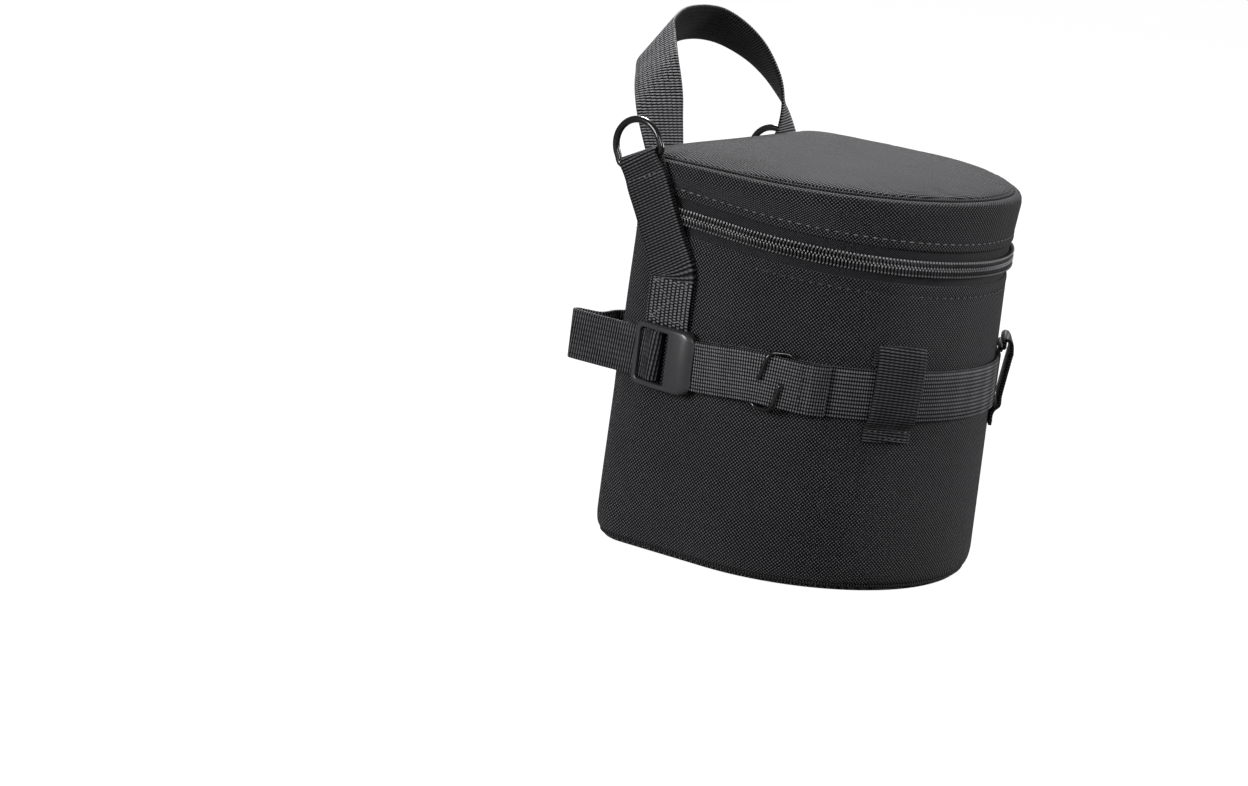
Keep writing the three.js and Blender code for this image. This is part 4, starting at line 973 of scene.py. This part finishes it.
shoulder = [(-10.46, 2.6), (-10.3, 1.2), (-9.7, 0.4), (-8.6, 0.0)]
d_shape = arc(0, 5.2, 10.4, spread(-0.1, pi + 0.1, 0.13)) + shoulder
d_shape += [(x, 0.0) for x in spread(-6.5, 6.5, 1.6)] + [(-x, y) for x, y in shoulder[::-1]]
for side, s, lean, splay in (("left", 138.4, 26, 2.5), ("right", -143.5, 53, 0)):
    head, across, reach = ring_tab(side, s, lean, splay)
    ring = wire(side + "_d", [head + across * x + reach * y for x, y in d_shape], RING_WIRE, True, 14)
    dress(ring, side + "_ring", "black_metal", "d_ring_" + side)
    print(side, "ring at", [round(v, 1) for v in head])

# %% [markdown]
# ## The front strap and its tail
# The strap runs round the wall from the far side, turns about the buckle's bar and comes back over
# itself as a loose tail, whose end is folded double and sewn. It lifts a little under the wire
# keeper. One strip makes all of it, as on the real pouch.

# %% Strap
STRAP, STITCH_REACH = 80, 9
ADJUST_S, FIXED_S, BAR_LIFT, BAR_TURN = 129.1, 142.1, 4.0, 2.1
TAIL_SHOWN, TAIL_DOUBLED, DOUBLED_SHARE = 62, 7.4, 0.45
RISE_HIGH, RISE_S, RISE_WIDE = 1.8, 97, 17


def strap_point(s, lift, up=0.0):
    point, _ = plan(s, lift)
    point.z = STRAP + RISE_HIGH * exp(-((s - RISE_S) / RISE_WIDE) ** 2) + up
    return point


strap_places = [(s, 1.9) for s in spread(-162, ADJUST_S - 2, 4)]
strap_places += arc(ADJUST_S, BAR_LIFT, BAR_TURN, (-1.2, -0.6, 0, 0.6, 1.2))
strap_places += [(s, 5.9 if s > 118 else 5.6) for s in spread(126, 79, 4)] + [(76, 5.3), (73, 4.6), (70, 3.7)]
strap_path = [(strap_point(s, lift), UP, 1.0) for s, lift in strap_places]
strap_length = lengths([point for point, _, _ in strap_path])[-1]


def hem_of(run):
    """The end of the tail is folded double."""
    return 1.0 + DOUBLED_SHARE * clamped((run - strap_length + TAIL_DOUBLED) / 0.6)


front_strap = webbing("strap_and_tail", strap_path, hem_of)
# Painted light: the strap and its tail take brighter copies of the webbing.
dress(front_strap, "case", "webbing", "front_strap", finish=front_painted_lit)
refinish(front_strap, tail_painted_lit, lambda u, v, normal: u > strap_length - TAIL_SHOWN)
seam("tail_stitches", [(strap_point(s, lift, -STITCH_REACH), strap_point(s, lift, STITCH_REACH), plan(s)[1])
                       for s, lift in ((79.6, 6.75), (71.2, 4.9))], pitch=2.2)
print("strap and tail", round(strap_length), "mm long")

# %% [markdown]
# ## Side loop
# A second strip is folded round the buckle's fixed bar, runs straight back past the corner, folds
# over and comes home to the back panel, where it is sewn down.

# %% Side loop
SIDE_FOOT, SIDE_OUT = plan(FRONT)
SIDE_RUN = (plan(FRONT + 1)[0] - SIDE_FOOT).normalized()


def side_point(s, lift, up=0.0):
    """A point on the straight side, which may run on past the back corner, in millimetres."""
    point = SIDE_FOOT + SIDE_RUN * (s - FRONT) + SIDE_OUT * lift
    point.z = STRAP + up
    return point


side_places = [(158, 1.75), (150, 1.75), (145, 1.75)]
side_places += arc(FIXED_S, BAR_LIFT, BAR_TURN, (-2.2, -2.7, pi, 2.6, 2.0, 1.57, 1.0, 0.5))
side_places += [(146.2, 3.75), (149.5, 3.3), (154, 3.3), (166, 3.4), (176, 3.4), (180.6, 3.3)]
side_places += arc(181.7, 1.3, 2, (0.9, 0, -0.9)) + [(180.4, -0.9), (174, -3.2)]
loop_points = [side_point(s, lift) for s, lift in side_places]
loop_points += [Vector((x, y, STRAP)) for x, y in
                ((-56, 63.2), (-50, 60.2), (-44, 58.85), (-36, 58.75), (-28, 58.75))]
side_loop = webbing("side_webbing", [(point, UP, 1.0) for point in loop_points])
dress(side_loop, "case", "webbing", "side_loop")
over = [side_point(146.6, 4.55, up) for up in (-STITCH_REACH, STITCH_REACH)]
seam("side_stitches", boxed_cross(Vector((-36.5, 59.55, STRAP)), EAST, 6.5, 7.5, NORTH) + [(*over, SIDE_OUT)])
print("side loop", len(side_loop.data.polygons), "faces")

# %% [markdown]
# ## Attachment loops
# Two short strips are sewn to the front below the strap, pass over it and fold back to the wall, so
# that another strap can be threaded behind them.

# %% Attachment loops
for side, s, far, slant, top_z in (("left", 44.6, 7.4, 0.0, 100.6), ("right", -37.0, 6.4, 1.0, 97.6)):
    centre, normal = plan(s)
    tangent = UP.cross(normal)
    path = [(1.75, 61.6), (1.72, 63.5), (1.8, 66.2), (2.6, 68.2), (4.3, 70.2), (far - 1.7 - slant * 0.4, 74),
            (far - 0.5 - slant * 0.7, 82), (far - slant * 0.2, 90), (far, top_z - 6), (far - 0.5, top_z - 2.4),
            (far - 1.8, top_z - 0.8), (far - 3.2, top_z - 1.2), (3.1, top_z - 4), (2.1, 93.6), (1.7, 92)]
    loop = webbing(side + "_loop", [(centre + normal * lift + UP * z, tangent, 1.0) for lift, z in path])
    dress(loop, "case", "webbing", "attachment_loop_" + side)
    rows = [centre + normal * 2.55 + UP * z for z in (63, 66)]
    seam(side + "_loop_stitches", [(row - tangent * 8.5, row + tangent * 8.5, normal) for row in rows], thread)
    print(side, "loop", len(loop.data.polygons), "faces")

# %% [markdown]
# ## Buckle
# The ladder lock is one moulding: a broad convex lip over the tail, two arms, and a thin rounded bar
# at the far end. Cubes joined together would show hard steps, so a section is carried round the
# frame: each station runs from the outer edge to the window, with its own height above and below.

# %% Buckle
BUCKLE_FRONT, BUCKLE_BACK, LIP, BUCKLE_HALF, WINDOW_HALF = 122.1, 151.1, 134.3, 12.5, 10.4
# How far each point of the section lies from the outer edge to the window, and how high between foot and top
SECTION = ((0.0, 0.5), (0.03, 0.8), (0.1, 0.96), (0.3, 1), (0.5, 1), (0.7, 1), (0.9, 0.96), (0.97, 0.8), (1.0, 0.5),
           (0.97, 0.15), (0.85, 0.0), (0.6, 0), (0.4, 0), (0.15, 0.0), (0.03, 0.15))


def eased(value, low, high):
    t = clamped((value - low) / (high - low))
    return t * t * (3 - 2 * t)


def rounded_outline(low_s, high_s, half, front_round, back_round, count=6):
    """Points round a rounded rectangle in (s, z), starting in the middle of the front."""
    bends, outline = [], []
    for s, z, radius, start in ((low_s + front_round, half - front_round, front_round, 2),
                                (high_s - back_round, half - back_round, back_round, 1),
                                (high_s - back_round, back_round - half, back_round, 0),
                                (low_s + front_round, front_round - half, front_round, -1)):
        bends.append(arc(s, z, radius, [pi / 2 * (start - k / count) for k in range(count + 1)]))
    for bend, after in zip(bends, bends[1:] + bends[:1]):
        (s0, z0), (s1, z1) = bend[-1], after[0]
        outline += bend + [(s0 + (s1 - s0) * t, z0 + (z1 - z0) * t)
                           for t in (k / (count + 2) for k in range(1, count + 2))]
    return outline


def buckle_top(s, z):
    crown = 0.7 * (1 - (z / BUCKLE_HALF) ** 2)
    lip = 8.5 + crown - 2.2 * (1 - eased(s, BUCKLE_FRONT - 0.5, BUCKLE_FRONT + 5)) ** 2
    arm = 8.4 - 2.6 * eased(s, LIP - 1, BUCKLE_BACK)
    return lip + (arm - lip) * eased(s, LIP - 3, LIP + 2)


def buckle_foot(s, z):
    under = 7.1 - 2.8 * eased(s, LIP, BUCKLE_BACK - 3)
    arm = 2.95 + 2.0 * (1 - eased(s, BUCKLE_FRONT, BUCKLE_FRONT + 4))
    return under + (arm - under) * eased(abs(z), 10.2, 10.9)


outer_line = rounded_outline(BUCKLE_FRONT, BUCKLE_BACK, BUCKLE_HALF, 5.0, 3.0)
inner_line = rounded_outline(LIP, BUCKLE_BACK - 2.0, WINDOW_HALF, 1.0, 1.4)
rings = []
for (s0, z0), (s1, z1) in zip(outer_line, inner_line):
    rings.append([])
    for t, level in SECTION:
        s, z = s0 + (s1 - s0) * t, z0 + (z1 - z0) * t
        low, high = buckle_foot(s, z), buckle_top(s, z)
        rings[-1].append(side_point(s, low + (high - low) * level, z) * MM)
buckle_frame = loft("buckle_frame", rings, closed_path=True)
dress(buckle_frame, "case", "buckle_plastic", "buckle")
for name, s in (("adjust_bar", ADJUST_S), ("fixed_bar", FIXED_S)):
    dress(wire(name, [side_point(s, BAR_LIFT, up) for up in spread(-11, 11, 2)], 1.1), "case", "buckle_plastic")
print("buckle", len(buckle_frame.data.polygons), "faces")

# %% [markdown]
# ## Wire keeper
# One length of black wire holds the tail down. Its two prongs bend over the tail and meet side by
# side in the middle of its height, so it is an open path through a few listed points.

# %% Keeper
KEEPER_S, KEEPER_WIDE, KEEPER_BACK, KEEPER_FRONT, KEEPER_HALF, KEEPER_UP = 90.5, 13.4, 3.7, 7.4, 11.1, 1.2
# Shares of the width, the height and the way from back to front, up to the middle of the wire
half_path = [(0.3, 0, 1), (0.22, 0.45, 1), (0.13, 0.85, 1), (0.04, 1, 0.8), (-0.12, 1.02, 0.5), (-0.38, 1, 0.1),
             (-0.5, 0.86, 0), (-0.42, 0.6, 0)]
stations = []
for shift, height, forward in half_path + [(-s, -h, f) for s, h, f in half_path[::-1]]:
    point, normal = plan(KEEPER_S + shift * KEEPER_WIDE, KEEPER_BACK + forward * (KEEPER_FRONT - KEEPER_BACK))
    point.z = STRAP + KEEPER_UP + height * KEEPER_HALF
    stations.append((point, normal, 1.0))
keeper_wire = wire("keeper_wire", [point for point, _, _ in smooth(stations, 0.5)], 0.85, tapered=True)
dress(keeper_wire, "keeper", "black_metal", "wire_keeper")
print("keeper", len(keeper_wire.data.polygons), "faces")

# %% [markdown]
# ## Slider and pull
# The model's own slider and pull have the right parts, but their edges are sharp. A copy of each is
# merged and its edges are bevelled, which is all that cast metal needs.

# %% Slider and pull
for name, width in (("slider", 0.35), ("pull", 0.3)):
    bm = bmesh.new()
    bm.from_mesh(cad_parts["zip_" + name].data)
    bmesh.ops.remove_doubles(bm, verts=bm.verts, dist=MERGE)
    bmesh.ops.dissolve_limit(bm, angle_limit=radians(4), verts=bm.verts, edges=bm.edges)
    sharp = [e for e in bm.edges if len(e.link_faces) == 2 and e.calc_face_angle() > radians(32)]
    bmesh.ops.bevel(bm, geom=sharp, offset=width * MM, offset_type="OFFSET", segments=2, profile=0.5,
                    affect="EDGES", material=-1, clamp_overlap=True)
    cast = dress(finish_mesh("cast_" + name, bm), f"zip_{name}_body", "black_metal", "zip_" + name)
    print(name, len(cast.data.polygons), "faces")

# %% [markdown]
# ## Floor and light
# The photograph has a white ground and soft light, strongest from above and behind. The floor shows
# itself mostly white to the camera and keeps a soft shadow. The world is a weak even light: it looks
# white to the camera, and a little brighter in reflections than elsewhere. Softboxes do the rest.

# %% Stage
FLOOR_DIM, FLOOR_GLOW, FLOOR_SHARE = 0.12, 1.04, 0.95
WORLD_LIGHT, WORLD_MIRRORED = 0.07, 0.13


def light(name, place, aim_z, size, power):
    """A round softbox that looks at a point over the middle of the floor."""
    lamp = bpy.data.lights.new(name, "AREA")
    lamp.shape = "DISK"
    lamp.size = size
    lamp.energy = power
    holder = bpy.data.objects.new(name, lamp)
    way = Vector((0, 0, aim_z)) - Vector(place)
    holder.matrix_world = Matrix.Translation(place) @ way.to_track_quat("-Z", "Y").to_matrix().to_4x4()
    scene.collection.objects.link(holder)


bm = bmesh.new()
bmesh.ops.create_grid(bm, x_segments=1, y_segments=1, size=6)
for v in bm.verts:
    v.co.z = -0.0002
floor = finish_mesh("floor", bm)
floor_paint = bpy.data.materials.new("white floor")
floor_paint.use_nodes = True
tree = floor_paint.node_tree
shader = tree.nodes["Principled BSDF"]
shader.inputs["Roughness"].default_value = 0.9
seen = add_node(tree, "LightPath")["Is Camera Ray"]
put(tree, shader.inputs["Base Color"], blend_colours(tree, seen, grey(FLOOR_DIM, FLOOR_DIM), grey(0.85, 0.85)))
glow = add_node(tree, "Emission", {"Strength": FLOOR_GLOW})[0]
mixed = add_node(tree, "MixShader", {0: ("MULTIPLY", seen, FLOOR_SHARE), 1: shader.outputs[0], 2: glow})[0]
put(tree, tree.nodes["Material Output"].inputs[0], mixed)
floor.data.materials.append(floor_paint)

scene.world = bpy.data.worlds.new("studio")
scene.world.use_nodes = True
tree = scene.world.node_tree
sky = tree.nodes["Background"].inputs
ray = add_node(tree, "LightPath")
mirrored = ("MULTIPLY", ("MAXIMUM", ray["Is Glossy Ray"], ray["Is Transmission Ray"]), WORLD_MIRRORED)
sky["Color"].default_value = (1, 1, 1, 1)
put(tree, sky["Strength"], ("MAXIMUM", ("ADD", WORLD_LIGHT, mirrored), ray["Is Camera Ray"]))

light("overhead", (0.8, 0.6, 1.2), 0.12, 0.5, 44)
light("right softbox", (0.9, -0.9, 0.5), 0.08, 0.5, 13)
light("left softbox", (-1.25, 0.3, 0.45), 0.12, 0.5, 14)
light("front softbox", (-0.85, -1.05, 0.7), 0.08, 0.4, 5)
print("lights", len(bpy.data.lights))

# %% [markdown]
# ## Counts
# The last cell prints how many pieces the script made and how many faces they have. The
# dressed pouch has to fill the same box as the model, give or take the swell of its cloth.

# %% Counts
print("pieces", len(pieces), "faces", sum(len(piece.data.polygons) for piece in pieces.values()))
